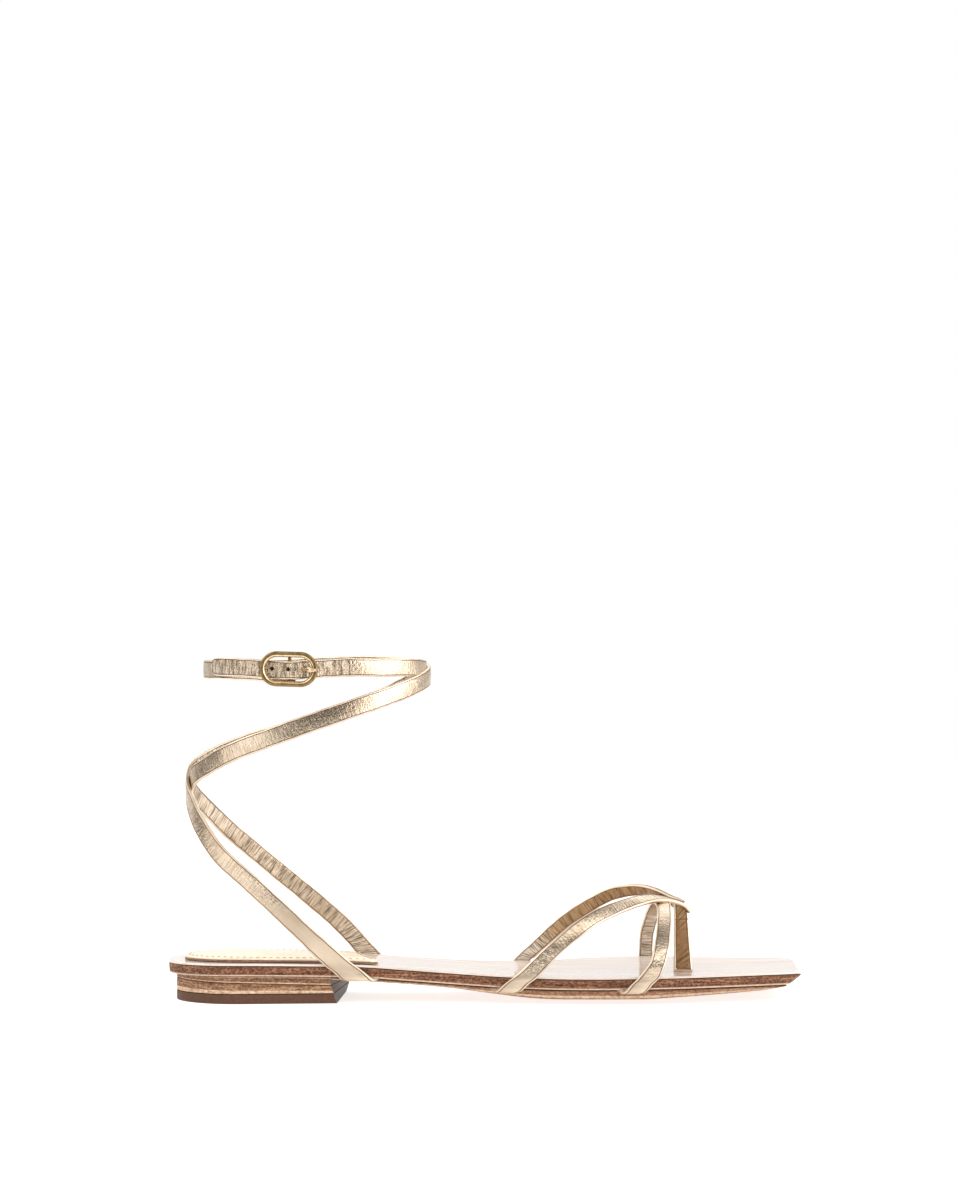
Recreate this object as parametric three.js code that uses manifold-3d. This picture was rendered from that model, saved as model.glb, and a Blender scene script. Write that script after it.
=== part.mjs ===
// Strappy thong sandal with crossed ankle straps, right shoe, in millimetres.
// +X points to the toe, -Y to the outer side of the foot, +Z up; the ground is z = 0.
import * as THREE from 'three';
import { mergeVertices } from 'three/addons/utils/BufferGeometryUtils.js';
import Module from 'manifold-3d';

const wasm = await Module();
wasm.setup();

// Sole: overall sizes
const soleLength = 255;
const ballHalfWidth = 42;
const seatHeight = 16.4;
const crownDrop = 2.6;
const heelEndLength = 26;
const heelEndFlat = 0.3;
const toeCornerRadius = 5.5;
const toeTip = 2.2;
const toeSlant = 0.085;
const endReach = 0.15;
const middle = 2;
const flatShare = 0.42;

// Layers of the sole
const insoleThickness = 0.8;
const boardThickness = 3.9;
const boardToeTaper = 5;
const boardEdgeTuck = 0.3;
const fitGap = 0.3;
const outsoleInset = 1.6;
const outsoleToeSetback = 1;
const outsoleToeTaper = 6;
const outsoleEdgeRound = 1.6;

// Heel stack
const heelInset = 2.4;
const heelBackInset = 3.2;
const breastPlace = 0.275;
const breastSlant = 0.22;
const breastGroundSlant = 0.12;
const toplift = 3.8;
const liftLineBack = 9.3;
const liftLineFront = 7.2;

// Heel pad
const padThickness = 1.6;
const padInset = 7.5;
const padBackInset = 6.5;
const padFrontPlace = 0.317;
const padFrontSlant = -0.24;

// Straps
const strapThickness = 1.8;
const strapBevel = 0.45;
const ankleStrapWidth = 7.4;
const vampStrapWidth = 6;
const toePostWidth = 8;
const toePostTopWidth = 5.7;
const toePostPlace = 0.823;
const toePostHead = 0.86;
const tuckDepth = 8;
const tuckMiddle = 0.45;
const edgeMiddle = 0.55;

// Ankle: the oval that the straps wrap
const ankleCentre = -70.6;
const ankleHalfLength = 44.2;
const ankleHalfWidth = 31;
const ankleHeight = 134.8;
const vampHeight = 43;

// Height of the line that each forefoot strap faces away from, as a share of vampHeight
const outerVampCore = 0.45;
const innerVampCore = 0.82;
const crossBandCore = 0.3;

// Buckle
const buckleAngle = 256.4;
const buckleLength = 23.4;
const buckleHeight = 14;
const buckleWire = 2.3;
const buckleThickness = 1.8;
const buckleTilt = -1.5;
const buckleRise = 0.45;
const buckleSag = 1.2;
const buckleSagSpread = 20;
const baseDrop = 1.4;
const barRadius = 0.7;
const prongRadius = 0.55;
const holeSpacing = 6.7;
const holeRadius = 0.8;
const holeCutStart = 1.1;
const holeCutDepth = 14;
const prongHoleShare = 0.56;

// The bed of the sole, from heel to toe. along is a share of soleLength, outer and inner are
// shares of ballHalfWidth, edge and underside of seatHeight, and crown of crownDrop.
const bed = [
  { along: 0.0, outer: 0.62, inner: 0.6, edge: 1.006, crown: 0.2, underside: 0.66 },
  { along: 0.1, outer: 0.63, inner: 0.62, edge: 1.0, crown: 0.2, underside: 0.63 },
  { along: 0.2, outer: 0.626, inner: 0.595, edge: 0.98, crown: 0.24, underside: 0.59 },
  { along: 0.3, outer: 0.624, inner: 0.565, edge: 0.945, crown: 0.3, underside: 0.5 },
  { along: 0.37, outer: 0.648, inner: 0.548, edge: 0.872, crown: 0.4, underside: 0.415 },
  { along: 0.44, outer: 0.695, inner: 0.548, edge: 0.796, crown: 0.5, underside: 0.312 },
  { along: 0.51, outer: 0.767, inner: 0.58, edge: 0.732, crown: 0.7, underside: 0.156 },
  { along: 0.58, outer: 0.852, inner: 0.67, edge: 0.695, crown: 0.9, underside: 0.025 },
  { along: 0.62, outer: 0.903, inner: 0.765, edge: 0.687, crown: 0.98, underside: 0.0 },
  { along: 0.68, outer: 0.955, inner: 0.93, edge: 0.69, crown: 1.0, underside: 0.0 },
  { along: 0.74, outer: 0.964, inner: 1.015, edge: 0.698, crown: 1.0, underside: 0.0 },
  { along: 0.8, outer: 0.93, inner: 0.99, edge: 0.701, crown: 0.92, underside: 0.05 },
  { along: 0.87, outer: 0.855, inner: 0.85, edge: 0.71, crown: 0.78, underside: 0.12 },
  { along: 0.94, outer: 0.755, inner: 0.72, edge: 0.716, crown: 0.62, underside: 0.2 },
  { along: 1.0, outer: 0.67, inner: 0.645, edge: 0.722, crown: 0.5, underside: 0.3 },
];

// Straps round the ankle. forward, side and up are shares of ankleHalfLength,
// ankleHalfWidth and ankleHeight, measured from the ankle's centre on the ground.
const outerWrap = [
  { forward: -0.09, side: -0.905, up: 0.206 },
  { forward: -0.31, side: -0.885, up: 0.275 },
  { forward: -0.58, side: -0.79, up: 0.356 },
  { forward: -0.88, side: -0.6, up: 0.445 },
  { forward: -1.06, side: -0.38, up: 0.534 },
  { forward: -1.135, side: -0.18, up: 0.592 },
  { forward: -1.165, side: 0.0, up: 0.637 },
  { forward: -1.12, side: 0.26, up: 0.68 },
  { forward: -1.0, side: 0.5, up: 0.709 },
  { forward: -0.84, side: 0.68, up: 0.733 },
  { forward: -0.6, side: 0.85, up: 0.762 },
  { forward: -0.31, side: 0.96, up: 0.789 },
  { forward: 0.0, side: 1.0, up: 0.822 },
  { forward: 0.31, side: 0.95, up: 0.859 },
  { forward: 0.6, side: 0.81, up: 0.892 },
  { forward: 0.83, side: 0.56, up: 0.93 },
  { forward: 0.97, side: 0.27, up: 0.961 },
  { forward: 1.015, side: 0.0, up: 0.985 },
  { forward: 0.96, side: -0.3, up: 0.993 },
  { forward: 0.78, side: -0.61, up: 0.997 },
  { forward: 0.53, side: -0.84, up: 0.998 },
];
const innerWrap = [
  { forward: 0.26, side: 0.845, up: 0.205 },
  { forward: -0.02, side: 0.87, up: 0.285 },
  { forward: -0.3, side: 0.845, up: 0.361 },
  { forward: -0.57, side: 0.745, up: 0.436 },
  { forward: -0.78, side: 0.595, up: 0.496 },
  { forward: -0.96, side: 0.37, up: 0.557 },
  { forward: -1.09, side: 0.16, up: 0.606 },
  { forward: -1.126, side: 0.0, up: 0.638 },
  { forward: -1.095, side: -0.2, up: 0.673 },
  { forward: -0.98, side: -0.41, up: 0.702 },
  { forward: -0.85, side: -0.6, up: 0.73 },
  { forward: -0.69, side: -0.745, up: 0.756 },
  { forward: -0.44, side: -0.905, up: 0.788 },
  { forward: -0.18, side: -0.99, up: 0.82 },
  { forward: 0.09, side: -1.01, up: 0.851 },
  { forward: 0.36, side: -0.95, up: 0.881 },
  { forward: 0.61, side: -0.81, up: 0.908 },
  { forward: 0.83, side: -0.58, up: 0.933 },
  { forward: 0.99, side: -0.3, up: 0.955 },
  { forward: 1.053, side: 0.0, up: 0.972 },
  { forward: 0.99, side: 0.31, up: 0.986 },
  { forward: 0.8, side: 0.61, up: 0.995 },
  { forward: 0.53, side: 0.85, up: 0.999 },
];

// Straps over the forefoot. along and side are shares of soleLength and ballHalfWidth, and
// up is a share of vampHeight above the ground.
const outerVamp = [
  { along: 0.596, side: -0.845, up: 0.482 },
  { along: 0.62, side: -0.81, up: 0.6 },
  { along: 0.645, side: -0.76, up: 0.708 },
  { along: 0.669, side: -0.68, up: 0.788 },
  { along: 0.694, side: -0.58, up: 0.845 },
  { along: 0.72, side: -0.46, up: 0.888 },
  { along: 0.747, side: -0.33, up: 0.92 },
  { along: 0.773, side: -0.2, up: 0.928 },
  { along: 0.8, side: -0.09, up: 0.902 },
  { along: 0.822, side: -0.02, up: 0.845 },
  { along: 0.831, side: 0.0, up: 0.79 },
];
const innerVamp = [
  { along: 0.593, side: 0.675, up: 0.37 },
  { along: 0.618, side: 0.66, up: 0.51 },
  { along: 0.642, side: 0.625, up: 0.64 },
  { along: 0.666, side: 0.58, up: 0.745 },
  { along: 0.689, side: 0.51, up: 0.84 },
  { along: 0.713, side: 0.42, up: 0.923 },
  { along: 0.735, side: 0.33, up: 0.962 },
  { along: 0.758, side: 0.235, up: 0.98 },
  { along: 0.78, side: 0.14, up: 0.96 },
  { along: 0.803, side: 0.06, up: 0.9 },
  { along: 0.822, side: 0.02, up: 0.83 },
];
const crossBand = [
  { along: 0.761, side: -1.0, up: 0.385 },
  { along: 0.769, side: -0.93, up: 0.525 },
  { along: 0.776, side: -0.76, up: 0.68 },
  { along: 0.782, side: -0.52, up: 0.795 },
  { along: 0.786, side: -0.28, up: 0.86 },
  { along: 0.787, side: 0.0, up: 0.88 },
  { along: 0.786, side: 0.3, up: 0.835 },
  { along: 0.786, side: 0.57, up: 0.745 },
  { along: 0.785, side: 0.81, up: 0.615 },
  { along: 0.783, side: 0.97, up: 0.475 },
];

// Where each strap passes the board's edge: side is -1 outer and 1 inner, and lean is how
// far forward the strap runs for each millimetre down.
const anchors = {
  outerWrap: { along: 0.267, side: -1, lean: 1.35 },
  innerWrap: { along: 0.321, side: 1, lean: 0.95 },
  outerVamp: { along: 0.56, side: -1, lean: -1.3 },
  innerVamp: { along: 0.573, side: 1, lean: -0.85 },
  crossOuter: { along: 0.749, side: -1, lean: -1.05 },
  crossInner: { along: 0.782, side: 1, lean: -0.1 },
};

const up = new THREE.Vector3(0, 0, 1);
const quarter = Math.PI / 2;

function clamp(value, low, high) {
  return Math.min(high, Math.max(low, value));
}

// The bed table's middle lies behind x = 0, the middle of the whole sandal.
function soleX(along) {
  return (along - 0.5) * soleLength - middle;
}

function soleShare(x) {
  return clamp((x + middle) / soleLength + 0.5, 0, 1);
}

// One column of the bed table at a place along the sole, smooth and without overshoot.
function bedValue(name, along) {
  let row = 0;
  while (row < bed.length - 2 && along > bed[row + 1].along) row += 1;
  const slope = (k) => (bed[k + 1][name] - bed[k][name]) / (bed[k + 1].along - bed[k].along);
  const tangent = (k) => {
    if (k === 0) return slope(0);
    if (k === bed.length - 1) return slope(k - 1);
    const before = slope(k - 1);
    const after = slope(k);
    return before * after <= 0 ? 0 : (2 * before * after) / (before + after);
  };
  const start = bed[row];
  const end = bed[row + 1];
  const span = end.along - start.along;
  const t = clamp((along - start.along) / span, 0, 1);
  const rise = end[name] - start[name];
  const a = tangent(row) * span;
  const b = tangent(row + 1) * span;
  return start[name] + a * t + (3 * rise - 2 * a - b) * t * t + (a + b - 2 * rise) * t * t * t;
}

function halfWidth(side, x) {
  return bedValue(side < 0 ? 'outer' : 'inner', soleShare(x)) * ballHalfWidth;
}

// Half width of an outline inset from the sole's, with its round heel and square toe.
function outlineY(side, x, back, front, inset) {
  const full = halfWidth(side, x) - inset;
  const fromBack = clamp(x - back, 0, heelEndLength);
  const heelArc = 1 - (fromBack + heelEndFlat) / heelEndLength;
  const heelShare = heelArc > 0 ? Math.sqrt(1 - heelArc * heelArc) : 1;
  const fromFront = clamp(front - x, 0, toeCornerRadius);
  const toeArc = toeCornerRadius - fromFront;
  const toeLoss = toeCornerRadius - Math.sqrt(toeCornerRadius ** 2 - toeArc ** 2);
  return full * heelShare - toeLoss;
}

// Height of the insole's face; its edges stand higher than its middle by the crown.
function bedHeight(x, y) {
  const along = soleShare(x);
  const share = clamp(Math.abs(y) / halfWidth(y, x), 0, 1);
  const edge = bedValue('edge', along) * seatHeight;
  return edge - bedValue('crown', along) * crownDrop * (1 - share * share);
}

function boardTop(x, y) {
  return bedHeight(x, y) - insoleThickness - fitGap;
}

function boardBottom(x, y) {
  return boardTop(x, y) - boardThickness;
}

function outsoleTop(x, y) {
  return boardBottom(x, y) - fitGap;
}

// The outsole's underside: flat across its middle, and rising to its edges.
function outsoleBottom(x, y) {
  const along = soleShare(x);
  const share = Math.abs(y) / halfWidth(y, x);
  const rise = clamp((share - flatShare) / (1 - flatShare), 0, 1);
  const low = bedValue('underside', along) * seatHeight;
  return low + bedValue('crown', along) * crownDrop * rise;
}

// Closed solid between two height fields. Each face has its own ends, inset and slants; a
// slant fades away from its end over reach, a share of the layer's length.
function layer({ upper, lower, stations, columns }) {
  const grid = (face) => {
    const { from, to, inset, height, fromSlant = 0, toSlant = 0, reach = 1, round } = face;
    return stations.map((share) => {
      const x = from + (to - from) * share;
      const atFrom = clamp(1 - share / reach, 0, 1);
      const atTo = clamp(1 - (1 - share) / reach, 0, 1);
      const slant = fromSlant * atFrom + toSlant * atTo;
      const left = outlineY(-1, x, round.back, round.front, inset);
      const right = outlineY(1, x, round.back, round.front, inset);
      return columns.map((column) => {
        const y = column < 0 ? column * left : column * right;
        const shifted = x + slant * y;
        return new THREE.Vector3(shifted, y, height(shifted, y));
      });
    });
  };
  return closedSlab(grid(upper), grid(lower));
}

function closedSlab(top, bottom) {
  const rows = top.length;
  const columns = top[0].length;
  const positions = [];
  for (const face of [top, bottom]) {
    for (const row of face) for (const p of row) positions.push(p.x, p.y, p.z);
  }
  const topAt = (i, j) => i * columns + j;
  const bottomAt = (i, j) => rows * columns + i * columns + j;
  const index = [];
  const quad = (a, b, c, d) => index.push(a, b, c, a, c, d);
  for (let i = 0; i < rows - 1; i += 1) {
    for (let j = 0; j < columns - 1; j += 1) {
      quad(topAt(i, j), topAt(i + 1, j), topAt(i + 1, j + 1), topAt(i, j + 1));
      quad(bottomAt(i, j), bottomAt(i, j + 1), bottomAt(i + 1, j + 1), bottomAt(i + 1, j));
    }
    const last = columns - 1;
    quad(topAt(i, 0), bottomAt(i, 0), bottomAt(i + 1, 0), topAt(i + 1, 0));
    quad(topAt(i, last), topAt(i + 1, last), bottomAt(i + 1, last), bottomAt(i, last));
  }
  for (let j = 0; j < columns - 1; j += 1) {
    const end = rows - 1;
    quad(topAt(0, j), topAt(0, j + 1), bottomAt(0, j + 1), bottomAt(0, j));
    quad(topAt(end, j), bottomAt(end, j), bottomAt(end, j + 1), topAt(end, j + 1));
  }
  return buildGeometry(positions, index);
}

function buildGeometry(positions, index) {
  const geometry = new THREE.BufferGeometry();
  geometry.setAttribute('position', new THREE.Float32BufferAttribute(positions, 3));
  geometry.setIndex(index);
  return geometry;
}

// Closed solid through rings of points that all have the same count.
function loft(rings) {
  const count = rings[0].length;
  const positions = rings.flatMap((ring) => ring.flatMap((p) => [p.x, p.y, p.z]));
  const index = [];
  for (let i = 0; i < rings.length - 1; i += 1) {
    for (let j = 0; j < count; j += 1) {
      const k = (j + 1) % count;
      const a = i * count + j;
      const b = i * count + k;
      index.push(a, b, b + count, a, b + count, a + count);
    }
  }
  const end = (rings.length - 1) * count;
  for (let j = 1; j < count - 1; j += 1) {
    index.push(0, j + 1, j);
    index.push(end, end + j, end + j + 1);
  }
  return buildGeometry(positions, index);
}

function toSolid(geometry) {
  const bare = geometry.clone();
  bare.deleteAttribute('normal');
  bare.deleteAttribute('uv');
  const merged = mergeVertices(bare);
  return new wasm.Manifold(new wasm.Mesh({
    numProp: 3,
    vertProperties: new Float32Array(merged.attributes.position.array),
    triVerts: new Uint32Array(merged.index.array),
  }));
}

function toGeometry(solid) {
  const mesh = solid.getMesh();
  return buildGeometry(Array.from(mesh.vertProperties), Array.from(mesh.triVerts));
}

function joined(solids) {
  return solids.reduce((whole, next) => whole.add(next));
}

function cut(solid, tools) {
  return tools.reduce((whole, next) => whole.subtract(next), solid);
}

// A strap row is a point and the way that the strap's face looks there. Where the strap folds
// round an edge, its section lies along the edge, by the row's ruling.
function strapRow(point, out, ruling = new THREE.Vector3()) {
  return { point, out: out.clone().normalize(), ruling };
}

// Rows beside and under the board, from the tucked end up to the insole's edge.
function anchorRows({ along, side, lean }) {
  const x = soleX(along);
  const stand = strapThickness / 2 + fitGap;
  const step = soleLength / 100;
  const edgeSlope = (halfWidth(side, x + step) - halfWidth(side, x - step)) / (2 * step);
  const outward = new THREE.Vector3(-edgeSlope, side, 0).normalize();
  const edgeAt = (px) => side * halfWidth(side, px);
  const top = bedHeight(x, edgeAt(x));
  const low = boardBottom(x, edgeAt(x));
  const drop = top - low;
  const place = (forward, reach, z) => {
    const px = x + forward;
    const point = new THREE.Vector3(px, edgeAt(px), z);
    return point.addScaledVector(outward, reach);
  };
  const down = up.clone().negate();
  const corner = Math.SQRT1_2 * stand;
  const diagonal = outward.clone().add(down);
  const ruling = new THREE.Vector3(1, side * edgeSlope, 0).setLength(Math.hypot(1, lean));
  const tuckedRow = (reach, z) => (
    strapRow(place(lean * (drop + reach), -reach, z), down, ruling)
  );
  return [
    tuckedRow(tuckDepth, low + strapThickness / 2),
    tuckedRow(tuckMiddle * tuckDepth, low + fitGap),
    strapRow(place(lean * (drop + corner), corner, low - corner), diagonal, ruling),
    strapRow(place(lean * drop * edgeMiddle, stand, top - drop * edgeMiddle), outward, ruling),
    strapRow(place(0, stand, top), outward, ruling),
  ];
}

function anklePoint({ forward, side, up: height }) {
  return new THREE.Vector3(
    ankleCentre + forward * ankleHalfLength,
    side * ankleHalfWidth,
    height * ankleHeight,
  );
}

// The oval at the top strap: 0 degrees at the front, 90 inner side, 180 back, 270 outer side.
// The strap sags a little under the buckle's weight.
function ovalRow(angle, offset) {
  const sag = buckleSag * Math.exp(-(((angle - buckleAngle) / buckleSagSpread) ** 2));
  const turn = THREE.MathUtils.degToRad(angle);
  const outward = new THREE.Vector3(
    Math.cos(turn) / ankleHalfLength,
    Math.sin(turn) / ankleHalfWidth,
    0,
  ).normalize();
  const point = new THREE.Vector3(
    ankleCentre + ankleHalfLength * Math.cos(turn),
    ankleHalfWidth * Math.sin(turn),
    ankleHeight - sag,
  );
  return strapRow(point.addScaledVector(outward, offset), outward);
}

// Rows that face level, away from the leg; turn is 1 or -1 by the way the strap winds.
function levelRows(points, turn) {
  return points.map((point, k) => {
    const before = points[Math.max(0, k - 1)];
    const after = points[Math.min(points.length - 1, k + 1)];
    const along = after.clone().sub(before);
    return strapRow(point, new THREE.Vector3(along.y * turn, -along.x * turn, 0));
  });
}

// Rows over the forefoot face away from a line inside the foot.
function vampRows(table, coreShare) {
  const core = vampHeight * coreShare;
  return table.map(({ along, side, up: height }) => {
    const point = new THREE.Vector3(soleX(along), side * ballHalfWidth, height * vampHeight);
    return strapRow(point, new THREE.Vector3(0, point.y, point.z - core));
  });
}

// Smooth sections along a strap's rows, each with its point and its outward and width ways.
function strapSections(rows, perSpan) {
  const path = new THREE.CatmullRomCurve3(rows.map((row) => row.point), false, 'centripetal');
  const facing = new THREE.CatmullRomCurve3(rows.map((row) => row.out), false, 'centripetal');
  const count = (rows.length - 1) * perSpan;
  return Array.from({ length: count + 1 }, (_, k) => {
    const t = k / count;
    const tangent = path.getTangent(t);
    const out = facing.getPoint(t);
    out.addScaledVector(tangent, -out.dot(tangent)).normalize();
    const across = new THREE.Vector3().crossVectors(out, tangent);
    const row = Math.min(Math.floor(t * (rows.length - 1)), rows.length - 2);
    const share = t * (rows.length - 1) - row;
    const ruling = rows[row].ruling.clone().lerp(rows[row + 1].ruling, share);
    if (ruling.dot(across) < 0) ruling.negate();
    const folded = [rows[row], rows[row + 1]].map((end) => (end.ruling.length() > 0 ? 1 : 0));
    across.multiplyScalar(1 - folded[0] * (1 - share) - folded[1] * share).add(ruling);
    return { point: path.getPoint(t), out, across };
  });
}

// A flat strap with bevelled edges along its sections, grown by extra all round.
function strapSolid(rows, width, { perSpan = 2, extra = 0 } = {}) {
  const half = width / 2 + extra;
  const thick = strapThickness / 2 + extra;
  const shoulder = half - strapBevel;
  const outline = [
    [half, 0],
    [shoulder, thick],
    [-shoulder, thick],
    [-half, 0],
    [-shoulder, -thick],
    [shoulder, -thick],
  ];
  const rings = strapSections(rows, perSpan).map(({ point, out, across }) => outline.map(
    ([w, t]) => point.clone().addScaledVector(across, w).addScaledVector(out, t),
  ));
  return toSolid(loft(rings));
}

// Rows of the two straps round the ankle. They meet the buckle on the outer side.
const wrapStart = levelRows(outerWrap.map(anklePoint), -1);
const barLift = strapThickness / 2 + fitGap + barRadius;
const overBar = barLift + barRadius + fitGap + strapThickness / 2;
const overBase = strapThickness + fitGap;
const buckleOffset = overBase + strapThickness / 2 + fitGap + buckleThickness / 2;

// The end that passes through the buckle. ahead is in degrees before the buckle, base is a
// share of the strap's stand over the base end and bar of its stand over the bar.
const tail = [
  { ahead: 32, base: 0, bar: 0 },
  { ahead: 20, base: 0, bar: 0 },
  { ahead: 13, base: 0.35, bar: 0 },
  { ahead: 7, base: 1, bar: 0 },
  { ahead: 3, base: 0, bar: 0.94 },
  { ahead: -2, base: 0, bar: 1 },
  { ahead: -8, base: 1.12, bar: 0 },
  { ahead: -13, base: 1, bar: 0 },
  { ahead: -24, base: 1, bar: 0 },
  { ahead: -38, base: 1, bar: 0 },
  { ahead: -50, base: 1, bar: 0 },
];
const tailRows = tail.map(({ ahead, base, bar }) => (
  ovalRow(buckleAngle + ahead, base * overBase + bar * overBar)
));

// Angles of the base end, from the inner side round the back to the buckle's bar. It runs
// down to its full drop below the tail between two angles on the inner side.
const baseAngles = [72, 90, 108, 126, 144, 162, 180, 198, 216, 234, 248, buckleAngle + 3];
const dropStart = 60;
const dropEnd = 108;
const baseRows = baseAngles.map((angle) => {
  const row = ovalRow(angle, 0);
  row.point.z -= baseDrop * clamp((angle - dropStart) / (dropEnd - dropStart), 0, 1);
  return row;
});

const outerRows = [...anchorRows(anchors.outerWrap), ...wrapStart, ...tailRows];
const innerRows = [
  ...anchorRows(anchors.innerWrap),
  ...levelRows(innerWrap.map(anklePoint), 1),
  ...baseRows,
];

// Rows of the forefoot's straps.
const outerVampRows = [...anchorRows(anchors.outerVamp), ...vampRows(outerVamp, outerVampCore)];
const innerVampRows = [...anchorRows(anchors.innerVamp), ...vampRows(innerVamp, innerVampCore)];
const crossRows = [
  ...anchorRows(anchors.crossOuter),
  ...vampRows(crossBand, crossBandCore),
  ...anchorRows(anchors.crossInner).reverse(),
];

// The toe post stands between the toes, flat sides outward, and ends on the board. Its rear
// edge is upright and its front edge slopes back.
function toePostSolid(extra) {
  const x = soleX(toePostPlace);
  const foot = boardTop(x, 0) + fitGap - extra;
  const rear = x - toePostWidth / 2 - extra;
  const outline = new THREE.Shape();
  outline.moveTo(rear, foot);
  outline.lineTo(rear + toePostWidth + 2 * extra, foot);
  outline.lineTo(rear + toePostTopWidth + 2 * extra, toePostHead * vampHeight);
  outline.lineTo(rear, toePostHead * vampHeight);
  const thickness = strapThickness + 2 * extra;
  const post = new THREE.ExtrudeGeometry(outline, { depth: thickness, bevelEnabled: false });
  post.translate(0, 0, -thickness / 2);
  post.rotateX(quarter);
  return toSolid(post);
}

// Axes of the buckle: along the strap to the front, up, and away from the leg.
function buckleMatrix() {
  const { point, out } = ovalRow(buckleAngle, 0);
  const forward = new THREE.Vector3().crossVectors(out, up).negate();
  const tilt = new THREE.Matrix4().makeRotationZ(THREE.MathUtils.degToRad(buckleTilt));
  const axes = new THREE.Matrix4().makeBasis(forward, up, out.clone());
  axes.setPosition(point.addScaledVector(up, buckleRise));
  return axes.multiply(tilt);
}

function stadium(path, length, height) {
  const r = height / 2;
  const straight = length / 2 - r;
  path.moveTo(-straight, -r);
  path.lineTo(straight, -r);
  path.absarc(straight, 0, r, -quarter, quarter, false);
  path.lineTo(-straight, r);
  path.absarc(-straight, 0, r, quarter, 3 * quarter, false);
  return path;
}

// The buckle's ring with its bar, which hangs behind the ring on two short legs.
function buckleFrameSolid() {
  const outline = stadium(new THREE.Shape(), buckleLength, buckleHeight);
  const window = new THREE.Path();
  stadium(window, buckleLength - 2 * buckleWire, buckleHeight - 2 * buckleWire);
  outline.holes.push(window);
  const ring = new THREE.ExtrudeGeometry(outline, {
    depth: buckleThickness, bevelEnabled: false, curveSegments: 9,
  });
  ring.translate(0, 0, buckleOffset - buckleThickness / 2);
  const legPlace = buckleHeight / 2 - buckleWire / 2;
  const bar = new THREE.CylinderGeometry(barRadius, barRadius, 2 * legPlace + barRadius, 8);
  bar.translate(0, 0, barLift);
  const legs = [-1, 1].map((side) => {
    const leg = new THREE.BoxGeometry(2 * barRadius, 2 * barRadius, buckleOffset - barLift);
    leg.translate(0, side * legPlace, (buckleOffset + barLift) / 2);
    return toSolid(leg);
  });
  return joined([toSolid(ring), toSolid(bar), ...legs]);
}

// The prong leaves the bar, passes through the strap's hole and lies on the ring. Its rows
// give the way to the ring's front as a share, and the stand off the leg as shares of the
// bar's stand and of the stand on the ring.
const prongRows = [
  { forward: 0.095, bar: 1, ring: 0 },
  { forward: 0.3, bar: 0.87, ring: 0 },
  { forward: 0.46, bar: 1.05, ring: 0 },
  { forward: 0.72, bar: 0, ring: 0.8 },
  { forward: 0.88, bar: 0, ring: 1 },
  { forward: 1.087, bar: 0, ring: 0.99 },
];
const prongSteps = 14;

function prongSolid(extra) {
  const onRing = buckleOffset + buckleThickness / 2 + fitGap + prongRadius;
  const ringPlace = buckleLength / 2 - buckleWire / 2;
  const path = prongRows.map(({ forward, bar, ring }) => (
    new THREE.Vector3(forward * ringPlace, 0, bar * barLift + ring * onRing)
  ));
  const curve = new THREE.CatmullRomCurve3(path, false, 'centripetal');
  const sides = 8;
  const radius = prongRadius + extra;
  const rings = Array.from({ length: prongSteps + 1 }, (_, k) => {
    const t = k / prongSteps;
    const tangent = curve.getTangent(t);
    const normal = new THREE.Vector3(-tangent.z, 0, tangent.x);
    const across = new THREE.Vector3(0, 1, 0);
    return Array.from({ length: sides }, (__, j) => {
      const angle = (j / sides) * 2 * Math.PI;
      return curve.getPoint(t)
        .addScaledVector(across, -radius * Math.sin(angle))
        .addScaledVector(normal, radius * Math.cos(angle));
    });
  });
  return toSolid(loft(rings));
}

// Round holes in the strap in front of the prong's and in its tail.
function strapHoles() {
  const places = [-2, -1, 1, 2];
  const matrix = buckleMatrix();
  const prongHole = prongHoleShare * (buckleLength / 2);
  return places.map((k) => {
    const hole = new THREE.CylinderGeometry(holeRadius, holeRadius, holeCutDepth, 8);
    hole.rotateX(quarter);
    hole.translate(prongHole + k * holeSpacing, 0, holeCutStart + holeCutDepth / 2);
    hole.applyMatrix4(matrix);
    return toSolid(hole);
  });
}

// Columns of points across the sole, the heel and the pad, as shares of the half width
const soleColumns = [-1, -0.72, -flatShare, 0, flatShare, 0.72, 1];
const heelColumns = [-1, -0.5, 0, 0.5, 1];
const padColumns = [-1, -0.6, 0, 0.6, 1];

// Steps along the sole's layers between their round ends
const soleSteps = 20;
const outsoleSteps = 14;
const heelSteps = 3;
const padSteps = 6;
const heelRoundSteps = 5;
const toeRoundSteps = 4;

// Stations run close together at a round end and wider apart between.
function stationShares(length, backRound, frontRound, between) {
  const shares = [];
  for (let k = 0; k <= heelRoundSteps; k += 1) {
    shares.push((backRound * (1 - Math.cos((k / heelRoundSteps) * quarter))) / length);
  }
  for (let k = 1; k < between; k += 1) {
    shares.push((backRound + ((length - backRound - frontRound) * k) / between) / length);
  }
  for (let k = 0; k <= toeRoundSteps; k += 1) {
    shares.push(1 - (frontRound * (1 - Math.sin((k / toeRoundSteps) * quarter))) / length);
  }
  return shares;
}

const heelEnd = soleX(0);
const toeEnd = soleX(1) + toeTip;
const wholeEnds = { back: heelEnd, front: toeEnd };
const wholeLength = toeEnd - heelEnd;
const longStations = stationShares(wholeLength, heelEndLength, toeCornerRadius, soleSteps);
const toeFace = { toSlant: toeSlant, reach: endReach };

function insoleSolid() {
  const face = { ...toeFace, from: heelEnd, to: toeEnd, inset: 0, round: wholeEnds };
  return toSolid(layer({
    upper: { ...face, height: bedHeight },
    lower: { ...face, height: (x, y) => bedHeight(x, y) - insoleThickness },
    stations: longStations,
    columns: soleColumns,
  }));
}

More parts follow.
